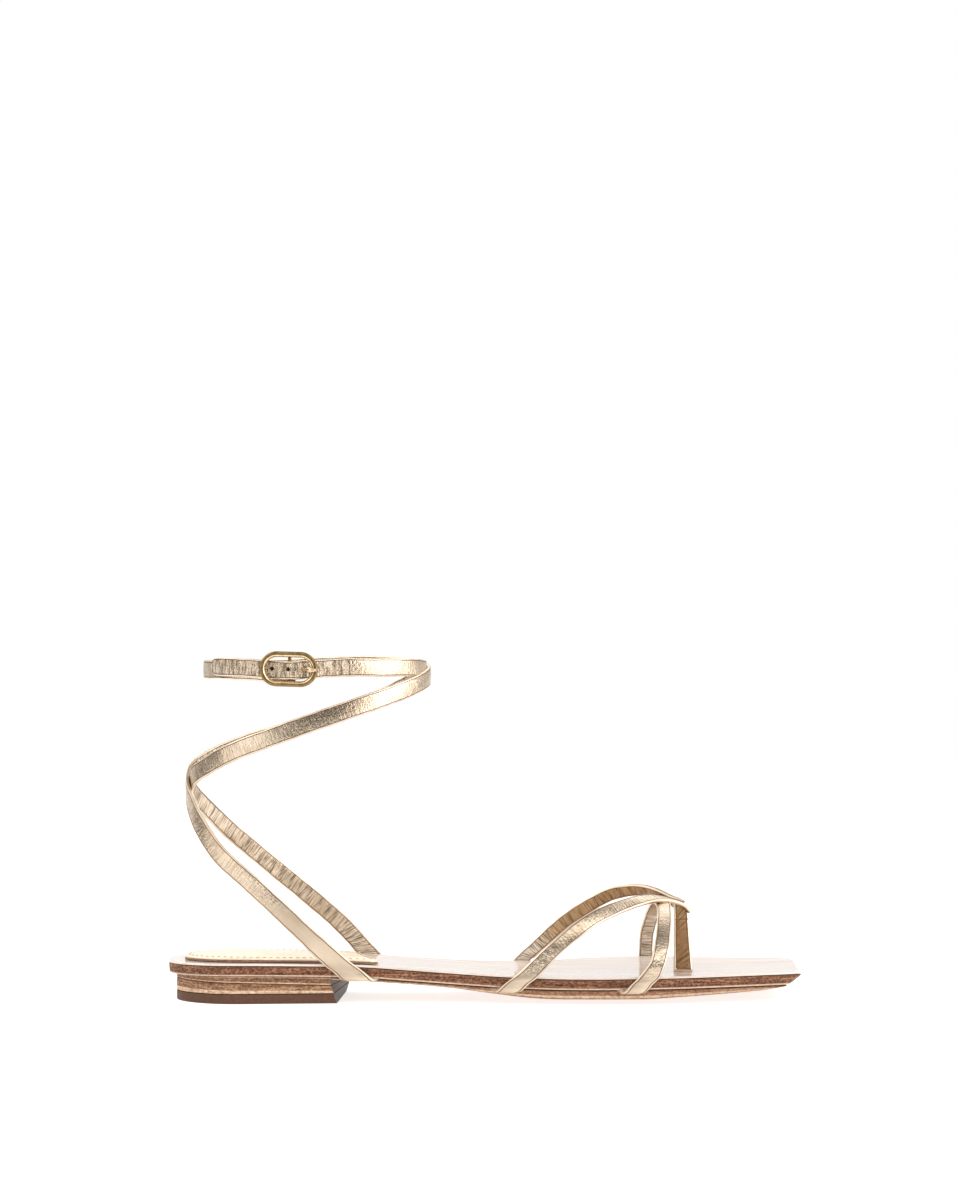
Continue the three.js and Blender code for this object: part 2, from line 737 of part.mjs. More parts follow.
function boardSolid() {
  const lowEnds = { back: heelEnd + boardEdgeTuck, front: toeEnd - boardToeTaper };
  return toSolid(layer({
    upper: {
      ...toeFace, from: heelEnd, to: toeEnd, inset: 0, round: wholeEnds, height: boardTop,
    },
    lower: {
      ...toeFace, from: lowEnds.back, to: lowEnds.front, inset: boardEdgeTuck, round: lowEnds,
      height: boardBottom,
    },
    stations: longStations,
    columns: soleColumns,
  }));
}

function outsoleSolid() {
  const rear = soleX(breastPlace) + fitGap;
  const upperToe = toeEnd - boardToeTaper - outsoleToeSetback;
  const lowerToe = upperToe - outsoleToeTaper;
  const length = upperToe - rear;
  const face = { ...toeFace, from: rear, fromSlant: breastSlant };
  return toSolid(layer({
    upper: {
      ...face, to: upperToe, inset: outsoleInset, height: outsoleTop,
      round: { back: heelEnd, front: upperToe },
    },
    lower: {
      ...face, to: lowerToe, inset: outsoleInset + outsoleEdgeRound, height: outsoleBottom,
      round: { back: heelEnd, front: lowerToe },
    },
    stations: stationShares(length, heelEndLength, toeCornerRadius, outsoleSteps),
    columns: soleColumns,
  }));
}

// Slant of the breast at a height: it lessens from the lower lift's top to the ground.
function slantAt(z) {
  const share = clamp(z / liftLineFront, 0, 1);
  return breastGroundSlant + (breastSlant - breastGroundSlant) * share;
}

// One lift of the heel between two height fields. Its slants are taken at two heights.
function liftSolid(top, bottom, topHeight, bottomHeight) {
  const back = heelEnd + heelBackInset;
  const front = soleX(breastPlace);
  const face = { from: back, to: front, inset: heelInset, round: { back, front: toeEnd } };
  return toSolid(layer({
    upper: { ...face, toSlant: slantAt(topHeight), height: top },
    lower: { ...face, toSlant: slantAt(bottomHeight), height: bottom },
    stations: stationShares(front - back, heelEndLength, heelEndLength / 2, heelSteps),
    columns: heelColumns,
  }));
}

function liftLine(x) {
  const share = (x - heelEnd) / (soleX(breastPlace) - heelEnd);
  return liftLineBack + (liftLineFront - liftLineBack) * share;
}

function heelPadSolid() {
  const back = heelEnd + padBackInset;
  const front = soleX(padFrontPlace);
  const ends = { back, front };
  const base = (x, y) => bedHeight(x, y) + fitGap;
  const face = { from: back, to: front, toSlant: padFrontSlant, round: ends };
  return toSolid(layer({
    upper: { ...face, inset: padInset, height: (x, y) => base(x, y) + padThickness },
    lower: { ...face, inset: padInset, height: base },
    stations: stationShares(front - back, heelEndLength, toeCornerRadius, padSteps),
    columns: padColumns,
  }));
}

// The lower end of every strap that passes the board, grown by the gap cut round it.
const passingRows = 8;
const tuckedEnds = [
  [outerRows, ankleStrapWidth],
  [innerRows, ankleStrapWidth],
  [outerVampRows, vampStrapWidth],
  [innerVampRows, vampStrapWidth],
  [crossRows, vampStrapWidth],
  [[...crossRows].reverse(), vampStrapWidth],
].map(([rows, width]) => {
  const [end, next] = rows;
  const beyond = end.point.clone().sub(next.point).setLength(fitGap).add(end.point);
  const grown = [strapRow(beyond, end.out, end.ruling), ...rows.slice(1, passingRows)];
  return strapSolid(grown, width, { extra: fitGap });
});

const buckleToShoe = buckleMatrix();
const fatProng = prongSolid(fitGap);
const ankleStraps = cut(
  joined([
    strapSolid(outerRows, ankleStrapWidth),
    strapSolid(innerRows, ankleStrapWidth),
  ]),
  [fatProng.transform(buckleToShoe.elements), ...strapHoles()],
);
const vampStraps = joined([
  strapSolid(outerVampRows, vampStrapWidth),
  strapSolid(innerVampRows, vampStrapWidth),
  strapSolid(crossRows, vampStrapWidth),
  toePostSolid(0),
]);

const materials = {
  leather: { color: 0xc8b491, roughness: 0.34, metalness: 0.85 },
  insole: { color: 0xeee4dc, roughness: 0.25, metalness: 0.1 },
  pad: { color: 0xf5e8cd, roughness: 0.45, metalness: 0.3 },
  board: { color: 0x96644b, roughness: 0.6, metalness: 0 },
  outsole: { color: 0xa0705a, roughness: 0.55, metalness: 0 },
  lift: { color: 0xa9805c, roughness: 0.6, metalness: 0 },
  toplift: { color: 0x694b3c, roughness: 0.75, metalness: 0 },
  brass: { color: 0x826e41, roughness: 0.35, metalness: 1 },
};

const sandal = new THREE.Group();

function addPiece(parent, name, solid, material) {
  const mesh = new THREE.Mesh(
    toGeometry(solid),
    new THREE.MeshStandardMaterial(materials[material]),
  );
  mesh.name = name;
  parent.add(mesh);
}

addPiece(sandal, 'insole', cut(insoleSolid(), [...tuckedEnds, toePostSolid(fitGap)]), 'insole');
addPiece(sandal, 'midsole_board', cut(boardSolid(), tuckedEnds), 'board');
addPiece(sandal, 'outsole', cut(outsoleSolid(), tuckedEnds), 'outsole');
addPiece(
  sandal,
  'heel_lift_upper',
  liftSolid(outsoleTop, liftLine, seatHeight, liftLineFront),
  'lift',
);
addPiece(
  sandal,
  'heel_lift_lower',
  liftSolid((x) => liftLine(x) - fitGap, () => toplift + fitGap, liftLineFront, toplift),
  'lift',
);
addPiece(sandal, 'heel_toplift', liftSolid(() => toplift, () => 0, toplift, 0), 'toplift');
addPiece(sandal, 'heel_pad', heelPadSolid(), 'pad');
addPiece(sandal, 'vamp_straps', vampStraps, 'leather');
addPiece(sandal, 'ankle_straps', ankleStraps, 'leather');

// The buckle's pieces are made in its own axes and carried to the ankle as a group.
const buckle = new THREE.Group();
buckle.applyMatrix4(buckleToShoe);
addPiece(buckle, 'buckle_frame', buckleFrameSolid(), 'brass');
addPiece(buckle, 'buckle_prong', prongSolid(0), 'brass');
sandal.add(buckle);

export default sandal;
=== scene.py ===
"""Looks of a strappy thong sandal, right shoe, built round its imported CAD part.

Sizes are written in millimetres and turned into metres by MM. +X points to the toe,
-Y to the outer side of the foot, +Z up.
"""

import math

import bmesh
import bpy
import numpy as np
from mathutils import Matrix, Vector


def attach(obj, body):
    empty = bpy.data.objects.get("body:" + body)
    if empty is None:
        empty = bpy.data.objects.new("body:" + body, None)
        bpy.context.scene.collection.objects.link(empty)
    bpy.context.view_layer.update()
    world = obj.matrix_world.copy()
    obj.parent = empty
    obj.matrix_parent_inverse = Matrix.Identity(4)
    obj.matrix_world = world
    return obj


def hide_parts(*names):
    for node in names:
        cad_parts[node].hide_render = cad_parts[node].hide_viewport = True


MM = 0.001

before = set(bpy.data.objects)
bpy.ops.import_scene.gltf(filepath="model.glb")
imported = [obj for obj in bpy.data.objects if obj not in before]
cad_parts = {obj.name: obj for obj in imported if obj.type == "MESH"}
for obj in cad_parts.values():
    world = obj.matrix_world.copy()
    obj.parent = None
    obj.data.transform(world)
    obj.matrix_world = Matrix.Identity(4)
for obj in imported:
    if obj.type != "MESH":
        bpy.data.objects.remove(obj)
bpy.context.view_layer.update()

# Sole: overall sizes
SOLE_LENGTH = 255.0
BALL_HALF_WIDTH = 42.0
SEAT_HEIGHT = 16.4
CROWN_DROP = 2.6
HEEL_END_LENGTH = 26.0
HEEL_END_FLAT = 0.3
TOE_CORNER_RADIUS = 5.5
TOE_TIP = 2.2
TOE_SLANT = 0.085
END_REACH = 0.15
MIDDLE = 2.0
FLAT_SHARE = 0.42

# Layers of the sole
INSOLE_THICKNESS = 0.8
BOARD_THICKNESS = 3.9
BOARD_TOE_TAPER = 5.0
BOARD_EDGE_TUCK = 0.3
FIT_GAP = 0.3
OUTSOLE_INSET = 1.6
OUTSOLE_TOE_SETBACK = 1.0
OUTSOLE_TOE_TAPER = 6.0
OUTSOLE_EDGE_ROUND = 1.6

# Heel stack and pad
HEEL_INSET = 2.4
HEEL_BACK_INSET = 3.2
BREAST_PLACE = 0.275
BREAST_SLANT = 0.22
BREAST_GROUND_SLANT = 0.12
TOPLIFT = 3.8
LIFT_LINE_BACK = 9.3
LIFT_LINE_FRONT = 7.2
PAD_THICKNESS = 1.6
PAD_EDGE = 0.7
PAD_INSET = 7.5
PAD_BACK_INSET = 6.5
PAD_FRONT_PLACE = 0.317
PAD_FRONT_SLANT = -0.24
STITCH_INSET = 1.5
STITCH_LENGTH = 1.9
STITCH_GAP = 0.75
STITCH_RISE = 0.2
STITCH_POINTS = 7
THREAD_RADIUS = 0.2
PAD_ROLL = 0.45
PAD_CROWN = 0.9
PAD_SEAM = 0.3
PAD_DIP = 0.5
PAD_DIP_PLACE = 0.74

# Straps
STRAP_THICKNESS = 1.8
ANKLE_STRAP_WIDTH = 7.4
VAMP_STRAP_WIDTH = 6.0
TOE_POST_WIDTH = 8.0
TOE_POST_TOP_WIDTH = 5.7
TOE_POST_PLACE = 0.823
TOE_POST_HEAD = 0.86
TUCK_DEPTH = 8.0
TUCK_MIDDLE = 0.45
EDGE_MIDDLE = 0.55
STRAP_STEP = 0.75
TAIL_LENGTH = 60.0
TAIL_NARROWING = 3.0

# Ankle: the oval that the straps wrap
ANKLE_CENTRE = -70.6
ANKLE_HALF_LENGTH = 44.2
ANKLE_HALF_WIDTH = 31.0
ANKLE_HEIGHT = 134.8
VAMP_HEIGHT = 43.0

# Height of the line that each forefoot strap faces away from, as a share of VAMP_HEIGHT
OUTER_VAMP_CORE = 0.45
INNER_VAMP_CORE = 0.82
CROSS_BAND_CORE = 0.3

# Buckle
BUCKLE_ANGLE = 256.4
BUCKLE_LENGTH = 23.4
BUCKLE_HEIGHT = 14.0
BUCKLE_WIRE = 2.3
BUCKLE_THICKNESS = 1.8
BUCKLE_TILT = -1.5
BUCKLE_RISE = 0.45
BUCKLE_SAG = 1.2
BUCKLE_SAG_SPREAD = 20.0
BASE_DROP = 1.4
BAR_RADIUS = 0.7
PRONG_RADIUS = 0.55
HOLE_SPACING = 6.7
HOLE_RADIUS = 0.8
HOLE_CUT_START = 1.1
HOLE_CUT_DEPTH = 8.0
HOLE_COUNT = 5
PRONG_HOLE = 2
PRONG_HOLE_SHARE = 0.56
PRONG_HOLE_GROWTH = 1.5

# The bed of the sole, from heel to toe. along is a share of the length, outer and inner are
# shares of the ball's half width, edge and underside of the seat height, crown of its drop.
BED = {
    "along": [0, 0.1, 0.2, 0.3, 0.37, 0.44, 0.51, 0.58, 0.62, 0.68, 0.74, 0.8, 0.87, 0.94, 1],
    "outer": [0.62, 0.63, 0.626, 0.624, 0.648, 0.695, 0.767, 0.852, 0.903, 0.955, 0.964, 0.93,
              0.855, 0.755, 0.67],
    "inner": [0.6, 0.62, 0.595, 0.565, 0.548, 0.548, 0.58, 0.67, 0.765, 0.93, 1.015, 0.99,
              0.85, 0.72, 0.645],
    "edge": [1.006, 1.0, 0.98, 0.945, 0.872, 0.796, 0.732, 0.695, 0.687, 0.69, 0.698, 0.701,
             0.71, 0.716, 0.722],
    "crown": [0.2, 0.2, 0.24, 0.3, 0.4, 0.5, 0.7, 0.9, 0.98, 1.0, 1.0, 0.92, 0.78, 0.62, 0.5],
    "underside": [0.66, 0.63, 0.59, 0.5, 0.415, 0.312, 0.156, 0.025, 0.0, 0.0, 0.0, 0.05,
                  0.12, 0.2, 0.3],
}

# Straps round the ankle: forward, side and up as shares of the ankle's half length, half
# width and height, from its centre on the ground.
OUTER_WRAP = [
    (-0.09, -0.905, 0.206), (-0.31, -0.885, 0.275), (-0.58, -0.79, 0.356),
    (-0.88, -0.6, 0.445), (-1.06, -0.38, 0.534), (-1.135, -0.18, 0.592),
    (-1.165, 0.0, 0.637), (-1.12, 0.26, 0.68), (-1.0, 0.5, 0.709), (-0.84, 0.68, 0.733),
    (-0.6, 0.85, 0.762), (-0.31, 0.96, 0.789), (0.0, 1.0, 0.822), (0.31, 0.95, 0.859),
    (0.6, 0.81, 0.892), (0.83, 0.56, 0.93), (0.97, 0.27, 0.961), (1.015, 0.0, 0.985),
    (0.96, -0.3, 0.993), (0.78, -0.61, 0.997), (0.53, -0.84, 0.998),
]
INNER_WRAP = [
    (0.26, 0.845, 0.205), (-0.02, 0.87, 0.285), (-0.3, 0.845, 0.361), (-0.57, 0.745, 0.436),
    (-0.78, 0.595, 0.496), (-0.96, 0.37, 0.557), (-1.09, 0.16, 0.606), (-1.126, 0.0, 0.638),
    (-1.095, -0.2, 0.673), (-0.98, -0.41, 0.702), (-0.85, -0.6, 0.73), (-0.69, -0.745, 0.756),
    (-0.44, -0.905, 0.788), (-0.18, -0.99, 0.82), (0.09, -1.01, 0.851), (0.36, -0.95, 0.881),
    (0.61, -0.81, 0.908), (0.83, -0.58, 0.933), (0.99, -0.3, 0.955), (1.053, 0.0, 0.972),
    (0.99, 0.31, 0.986), (0.8, 0.61, 0.995), (0.53, 0.85, 0.999),
]

# Straps over the forefoot: along the sole, side as a share of the ball's half width, and up
# as a share of the vamp's height.
OUTER_VAMP = [
    (0.596, -0.845, 0.482), (0.62, -0.81, 0.6), (0.645, -0.76, 0.708), (0.669, -0.68, 0.788),
    (0.694, -0.58, 0.845), (0.72, -0.46, 0.888), (0.747, -0.33, 0.92), (0.773, -0.2, 0.928),
    (0.8, -0.09, 0.902), (0.822, -0.02, 0.845), (0.831, 0.0, 0.79),
]
INNER_VAMP = [
    (0.593, 0.675, 0.37), (0.618, 0.66, 0.51), (0.642, 0.625, 0.64), (0.666, 0.58, 0.745),
    (0.689, 0.51, 0.84), (0.713, 0.42, 0.923), (0.735, 0.33, 0.962), (0.758, 0.235, 0.98),
    (0.78, 0.14, 0.96), (0.803, 0.06, 0.9), (0.822, 0.02, 0.83),
]
CROSS_BAND = [
    (0.761, -1.0, 0.385), (0.769, -0.93, 0.525), (0.776, -0.76, 0.68), (0.782, -0.52, 0.795),
    (0.786, -0.28, 0.86), (0.787, 0.0, 0.88), (0.786, 0.3, 0.835), (0.786, 0.57, 0.745),
    (0.785, 0.81, 0.615), (0.783, 0.97, 0.475),
]

# Where each strap passes the board's edge: along the sole, side, and lean forward per
# millimetre down.
ANCHORS = {
    "outer_wrap": (0.267, -1, 1.35),
    "inner_wrap": (0.321, 1, 0.95),
    "outer_vamp": (0.56, -1, -1.3),
    "inner_vamp": (0.573, 1, -0.85),
    "cross_outer": (0.749, -1, -1.05),
    "cross_inner": (0.782, 1, -0.1),
}

# Creases pressed into a strap: place along it, and depth, spread and lean across it, in millimetres.
CREASES = {
    "ankle_strap_outer": [(62, 0.1, 0.7, 0.2), (70, 0.14, 0.6, 0.35), (77, 0.1, 0.5, 0.1)],
    "ankle_strap_inner": [(60, 0.12, 0.6, 0.2), (96, 0.16, 0.8, 0.3), (128, 0.12, 0.9, 0.25)],
    "vamp_strap_outer": [(34, 0.12, 0.8, 0.5), (38, 0.1, 0.6, 0.3), (54, 0.1, 0.7, 0.4)],
    "vamp_strap_inner": [(40, 0.12, 0.8, 0.4), (58, 0.14, 0.8, 0.6)],
    "cross_band": [(28, 0.1, 0.6, 0.5), (31, 0.12, 0.7, 0.6), (38, 0.1, 0.6, 0.4)],
}

# Places of a strap's feet along it, and how far from them its leather is calm: smooth on its face,
# and pale on its lining as a painted reflection of the bright insole. All are in millimetres.
FEET = {
    "ankle_strap_outer": [0], "ankle_strap_inner": [0], "vamp_strap_outer": [0],
    "vamp_strap_inner": [0], "cross_band": [0, 118],
}
CALM_AND_SHEEN_REACH = {
    "ankle_strap_outer": 56, "ankle_strap_inner": 14, "vamp_strap_outer": 21,
    "vamp_strap_inner": 30, "cross_band": 17,
}
CALM_AND_SHEEN_FADE = 2.5

UP = np.array([0.0, 0.0, 1.0])


# Small helpers

def unit(vectors):
    return vectors / np.linalg.norm(vectors, axis=-1, keepdims=True)


def hump(value, place, spread):
    """1 at a place, falling to 0 on both sides of it."""
    return np.exp(-(((value - place) / spread) ** 2))


def mirrored(half):
    """Columns from -1 to 1, from those of the right half."""
    return np.concatenate([-half[::-1], half[1:]])


def arc_lengths(path):
    """Distance along a path to each of its points."""
    return np.concatenate([[0], np.cumsum(np.linalg.norm(np.diff(path, axis=0), axis=1))])


# Sole functions

def sole_x(along):
    return (along - 0.5) * SOLE_LENGTH - MIDDLE


def sole_share(x):
    return (np.asarray(x) + MIDDLE) / SOLE_LENGTH + 0.5


HEEL_END = sole_x(0)
TOE_END = sole_x(1) + TOE_TIP


def bed_value(name, along):
    """One column of the bed table at places along the sole, smooth and without overshoot."""
    places = np.array(BED["along"], float)
    values = np.array(BED[name], float)
    slopes = np.diff(values) / np.diff(places)
    product = slopes[:-1] * slopes[1:]
    total = np.where(product > 0, slopes[:-1] + slopes[1:], 1.0)
    inner = np.where(product > 0, 2 * product / total, 0.0)
    tangents = np.concatenate([slopes[:1], inner, slopes[-1:]])
    along = np.clip(along, 0, 1)
    row = np.clip(np.searchsorted(places, along, "right") - 1, 0, len(places) - 2)
    span = places[row + 1] - places[row]
    t = (along - places[row]) / span
    rise = values[row + 1] - values[row]
    a = tangents[row] * span
    b = tangents[row + 1] * span
    return values[row] + a * t + (3 * rise - 2 * a - b) * t**2 + (a + b - 2 * rise) * t**3


def half_width(side, x):
    along = sole_share(x)
    outer = bed_value("outer", along)
    inner = bed_value("inner", along)
    return np.where(np.asarray(side) < 0, outer, inner) * BALL_HALF_WIDTH


def outline_y(side, x, back, front, inset):
    """Half width of an outline inset from the sole's, with its round heel and square toe."""
    from_back = np.clip(x - back, 0, HEEL_END_LENGTH)
    arc = np.maximum(1 - (from_back + HEEL_END_FLAT) / HEEL_END_LENGTH, 0)
    share = np.sqrt(1 - arc**2)
    toe_arc = TOE_CORNER_RADIUS - np.clip(front - x, 0, TOE_CORNER_RADIUS)
    toe_loss = TOE_CORNER_RADIUS - np.sqrt(TOE_CORNER_RADIUS**2 - toe_arc**2)
    return (half_width(side, x) - inset) * share - toe_loss


def bed_height(x, y):
    along = sole_share(x)
    share = np.clip(np.abs(y) / half_width(y, x), 0, 1)
    edge = bed_value("edge", along) * SEAT_HEIGHT
    return edge - bed_value("crown", along) * CROWN_DROP * (1 - share**2)


def board_top(x, y):
    return bed_height(x, y) - INSOLE_THICKNESS - FIT_GAP


def board_bottom(x, y):
    return board_top(x, y) - BOARD_THICKNESS


def outsole_top(x, y):
    return board_bottom(x, y) - FIT_GAP


def outsole_bottom(x, y):
    along = sole_share(x)
    share = np.abs(y) / half_width(y, x)
    rise = np.clip((share - FLAT_SHARE) / (1 - FLAT_SHARE), 0, 1)
    low = bed_value("underside", along) * SEAT_HEIGHT
    return low + bed_value("crown", along) * CROWN_DROP * rise


def lift_line(x, y):
    share = (x - HEEL_END) / (sole_x(BREAST_PLACE) - HEEL_END)
    return LIFT_LINE_BACK + (LIFT_LINE_FRONT - LIFT_LINE_BACK) * share


# Mesh building

END_STATIONS = 17
SHARP_ANGLE = 38
MERGE_DISTANCE = 0.004


def station_shares(length, back_round, front_round, between):
    """Places along a layer, close together at its round ends."""
    ends = np.linspace(0, math.pi / 2, END_STATIONS)
    back = back_round * (1 - np.cos(ends)) / length
    middle = np.linspace(back_round, length - front_round, between)[1:-1] / length
    front = 1 - front_round * (1 - np.sin(ends[::2])) / length
    return np.concatenate([back, middle, front])


def layer_grid(level, stations, columns):
    """Points of one face of a layer, as rows from heel to toe."""
    x = level["start"] + (level["end"] - level["start"]) * stations
    reach = level.get("reach", 1.0)
    at_start = np.clip(1 - stations / reach, 0, 1)
    at_end = np.clip(1 - (1 - stations) / reach, 0, 1)
    slant = level.get("start_slant", 0) * at_start + level.get("end_slant", 0) * at_end
    back = level.get("back", level["start"])
    front = level.get("front", level["end"])
    left = outline_y(-1, x, back, front, level["inset"])
    right = outline_y(1, x, back, front, level["inset"])
    y = np.where(columns[None, :] < 0, columns * left[:, None], columns * right[:, None])
    shifted = x[:, None] + slant[:, None] * y
    return np.stack([shifted, y, level["height"](shifted, y)], axis=-1)


def edge_loop(grid):
    """The boundary of a grid as one closed row of points."""
    return np.concatenate([grid[:-1, 0], grid[-1, :-1], grid[:0:-1, -1], grid[0, :0:-1]])


def grid_faces(rows, columns, first=0):
    i, j = np.meshgrid(np.arange(rows - 1), np.arange(columns - 1), indexing="ij")
    a = first + i * columns + j
    return np.stack([a, a + columns, a + columns + 1, a + 1], axis=-1).reshape(-1, 4)


def layered_solid(name, levels, stations, columns, slots, top_shape=None):
    """Closed solid from its top level to its bottom one; walls take each level's material."""
    top = layer_grid(levels[0], stations, columns)
    if top_shape is not None:
        top = top_shape(top)
    bottom = layer_grid(levels[-1], stations, columns)
    loops = [edge_loop(layer_grid(level, stations, columns)) for level in levels]
    loops[0] = edge_loop(top)
    count = len(loops[0])
    points = [top.reshape(-1, 3), bottom.reshape(-1, 3), *loops]
    rows, width = top.shape[:2]
    size = rows * width
    top_faces = grid_faces(rows, width)
    bottom_faces = grid_faces(rows, width, size)[:, ::-1]
    faces = [top_faces, bottom_faces]
    ends = ((top_faces, levels[0]), (bottom_faces, levels[-1]))
    marks = [np.full(len(part), level["mark"]) for part, level in ends]
    ring = np.arange(count)
    following = (ring + 1) % count
    for k in range(len(loops) - 1):
        upper = 2 * size + k * count
        lower = upper + count
        walls = np.stack([upper + ring, lower + ring, lower + following, upper + following], -1)
        faces.append(walls)
        marks.append(np.full(count, levels[k]["wall"]))
        if "breast" in levels[k]:
            front = (ring >= rows - 1) & (ring < rows - 1 + width - 1)
            marks[-1][front] = levels[k]["breast"]
    return make_mesh(name, *(np.concatenate(parts) for parts in (points, faces, marks)), slots)


def tube_faces(rows, columns, first=0):
    """Faces round a tube of rings, and then the caps of its two ends."""
    i, j = np.meshgrid(np.arange(rows - 1), np.arange(columns), indexing="ij")
    a = first + i * columns + j
    b = first + i * columns + (j + 1) % columns
    walls = np.stack([a, b, b + columns, a + columns], axis=-1).reshape(-1, 4)
    last = first + (rows - 1) * columns
    caps = [list(range(start, start + columns)) for start in (first, last)]
    return walls.tolist() + caps


def wire_rings(centre, size, sides, guide, flatten=1.0):
    """Rings round a wire's centre line; flatten thins them away from the guide's side."""
    ahead = unit(np.gradient(centre, axis=0))
    side = unit(np.cross(ahead, guide))
    top = np.cross(side, ahead)
    turn = np.linspace(0, 2 * math.pi, sides, endpoint=False)
    sideways = side[:, None] * (np.cos(turn)[None, :, None] * size[:, None, None])
    upward = top[:, None] * (np.sin(turn)[None, :, None] * size[:, None, None] * flatten)
    return centre[:, None] + sideways + upward


def make_mesh(name, points, faces, marks, slots, coordinates=None, merge=True, calm_and_sheen=None):
    """Mesh object in metres, smooth up to SHARP_ANGLE, with one material for each of slots.

    coordinates are a strap's own place, width and height, which its material reads.
    """
    mesh = bpy.data.meshes.new(name)
    mesh.from_pydata((points * MM).tolist(), [], [list(map(int, face)) for face in faces])
    mesh.polygons.foreach_set("material_index", np.asarray(marks, np.int32))
    for slot in slots:
        mesh.materials.append(slot)
    strap = ("strap", "FLOAT_VECTOR", "vector", coordinates)
    for key, kind, field, values in (strap, ("calm_and_sheen", "FLOAT", "value", calm_and_sheen)):
        if values is not None:
            attribute = mesh.attributes.new(key, kind, "POINT")
            attribute.data.foreach_set(field, values.astype(np.float32).ravel())
    shape = bmesh.new()
    shape.from_mesh(mesh)
    if merge:
        bmesh.ops.remove_doubles(shape, verts=shape.verts, dist=MERGE_DISTANCE * MM)
    bmesh.ops.recalc_face_normals(shape, faces=shape.faces)
    for face in shape.faces:
        face.smooth = True
    for edge in shape.edges:
        if len(edge.link_faces) == 2 and edge.calc_face_angle(0) > math.radians(SHARP_ANGLE):
            edge.smooth = False
    shape.to_mesh(mesh)
    shape.free()
    mesh.update()
    piece = bpy.data.objects.new(name, mesh)
    bpy.context.scene.collection.objects.link(piece)
    return piece


# Strap paths

def smooth_curve(points, places):
    """Centripetal curve through points, at places counted in spans."""
    padded = np.vstack([2 * points[0] - points[1], points, 2 * points[-1] - points[-2]])
    span = np.clip(np.floor(places).astype(int), 0, len(points) - 2)
    f = (places - span)[:, None]
    p0, p1, p2, p3 = (padded[span + k] for k in range(4))
    ends = ((p0, p1), (p1, p2), (p2, p3))
    reach = [np.sqrt(np.linalg.norm(b - a, axis=1))[:, None] for a, b in ends]
    d1 = np.where(reach[1] < 1e-4, 1.0, reach[1])
    d0 = np.where(reach[0] < 1e-4, d1, reach[0])
    d2 = np.where(reach[2] < 1e-4, d1, reach[2])
    a = ((p1 - p0) / d0 - (p2 - p0) / (d0 + d1) + (p2 - p1) / d1) * d1
    b = ((p2 - p1) / d1 - (p3 - p1) / (d1 + d2) + (p3 - p2) / d2) * d1
    return p1 + a * f + (3 * (p2 - p1) - 2 * a - b) * f**2 + (2 * (p1 - p2) + a + b) * f**3


def strap_sections(rows, step):
    """Evenly spaced sections: place along the strap, centre, outward way and width way."""
    points, outs, rulings = (np.array([row[k] for row in rows], float) for k in range(3))
    dense = np.linspace(0, len(rows) - 1, 40 * (len(rows) - 1) + 1)
    path = smooth_curve(points, dense)
    arc = arc_lengths(path)
    place = np.linspace(0, arc[-1], int(math.ceil(arc[-1] / step)) + 1)
    t = np.interp(place, arc, dense)
    centre = smooth_curve(points, t)
    tangent = unit(np.gradient(centre, axis=0))
    out = smooth_curve(unit(outs), t)
    out = unit(out - tangent * np.sum(out * tangent, axis=1, keepdims=True))
    across = np.cross(out, tangent)
    row = np.clip(np.floor(t).astype(int), 0, len(rows) - 2)
    share = (t - row)[:, None]
    ruling = rulings[row] * (1 - share) + rulings[row + 1] * share
    ruling *= np.where(np.sum(ruling * across, axis=1, keepdims=True) < 0, -1, 1)
    is_fold = (np.linalg.norm(rulings, axis=1, keepdims=True) > 0).astype(float)
    folded = is_fold[row] * (1 - share) + is_fold[row + 1] * share
    return place, centre, out, across * (1 - folded) + ruling


def anchor_rows(name):
    """Rows beside and under the board, from the tucked end up to the insole's edge.

    Each row is a point, the way that the strap's face looks, and the way that its section
    lies where it folds round the edge.
    """
    along, side, lean = ANCHORS[name]
    x = sole_x(along)
    stand = STRAP_THICKNESS / 2 + FIT_GAP
    step = SOLE_LENGTH / 100
    slope = float(half_width(side, x + step) - half_width(side, x - step)) / (2 * step)
    outward = unit(np.array([-slope, side, 0.0]))
    ruling = unit(np.array([1.0, side * slope, 0.0])) * math.hypot(1, lean)
    edge = side * float(half_width(side, x))
    top = float(bed_height(x, edge))
    low = float(board_bottom(x, edge))
    drop = top - low
    corner = math.sqrt(0.5) * stand

    def fold_row(forward, reach, z, way):
        px = x + forward
        point = np.array([px, side * float(half_width(side, px)), z]) + outward * reach
        return point, way, ruling

    def tucked_row(reach, z):
        return fold_row(lean * (drop + reach), -reach, z, -UP)

    return [
        tucked_row(TUCK_DEPTH, low + STRAP_THICKNESS / 2),
        tucked_row(TUCK_MIDDLE * TUCK_DEPTH, low + FIT_GAP),
        fold_row(lean * (drop + corner), corner, low - corner, outward - UP),
        fold_row(lean * drop * EDGE_MIDDLE, stand, top - drop * EDGE_MIDDLE, outward),
        fold_row(0, stand, top, outward),
    ]


def wrap_rows(table, turn):
    """Rows round the ankle, level and facing away from the leg."""
    size = np.array([ANKLE_HALF_LENGTH, ANKLE_HALF_WIDTH, ANKLE_HEIGHT])
    points = np.array(table) * size + np.array([ANKLE_CENTRE, 0, 0])
    ahead = np.gradient(points, axis=0)
    outs = np.stack([ahead[:, 1] * turn, -ahead[:, 0] * turn, np.zeros(len(points))], axis=1)
    return list(zip(points, outs, np.zeros_like(points)))


def vamp_rows(table, core):
    """Rows over the forefoot face away from a line inside the foot."""
    size = np.array([SOLE_LENGTH, BALL_HALF_WIDTH, VAMP_HEIGHT])
    points = (np.array(table) - np.array([0.5, 0, 0])) * size - np.array([MIDDLE, 0, 0])
    outs = points * np.array([0, 1, 1]) - np.array([0, 0, core * VAMP_HEIGHT])
    return list(zip(points, outs, np.zeros_like(points)))


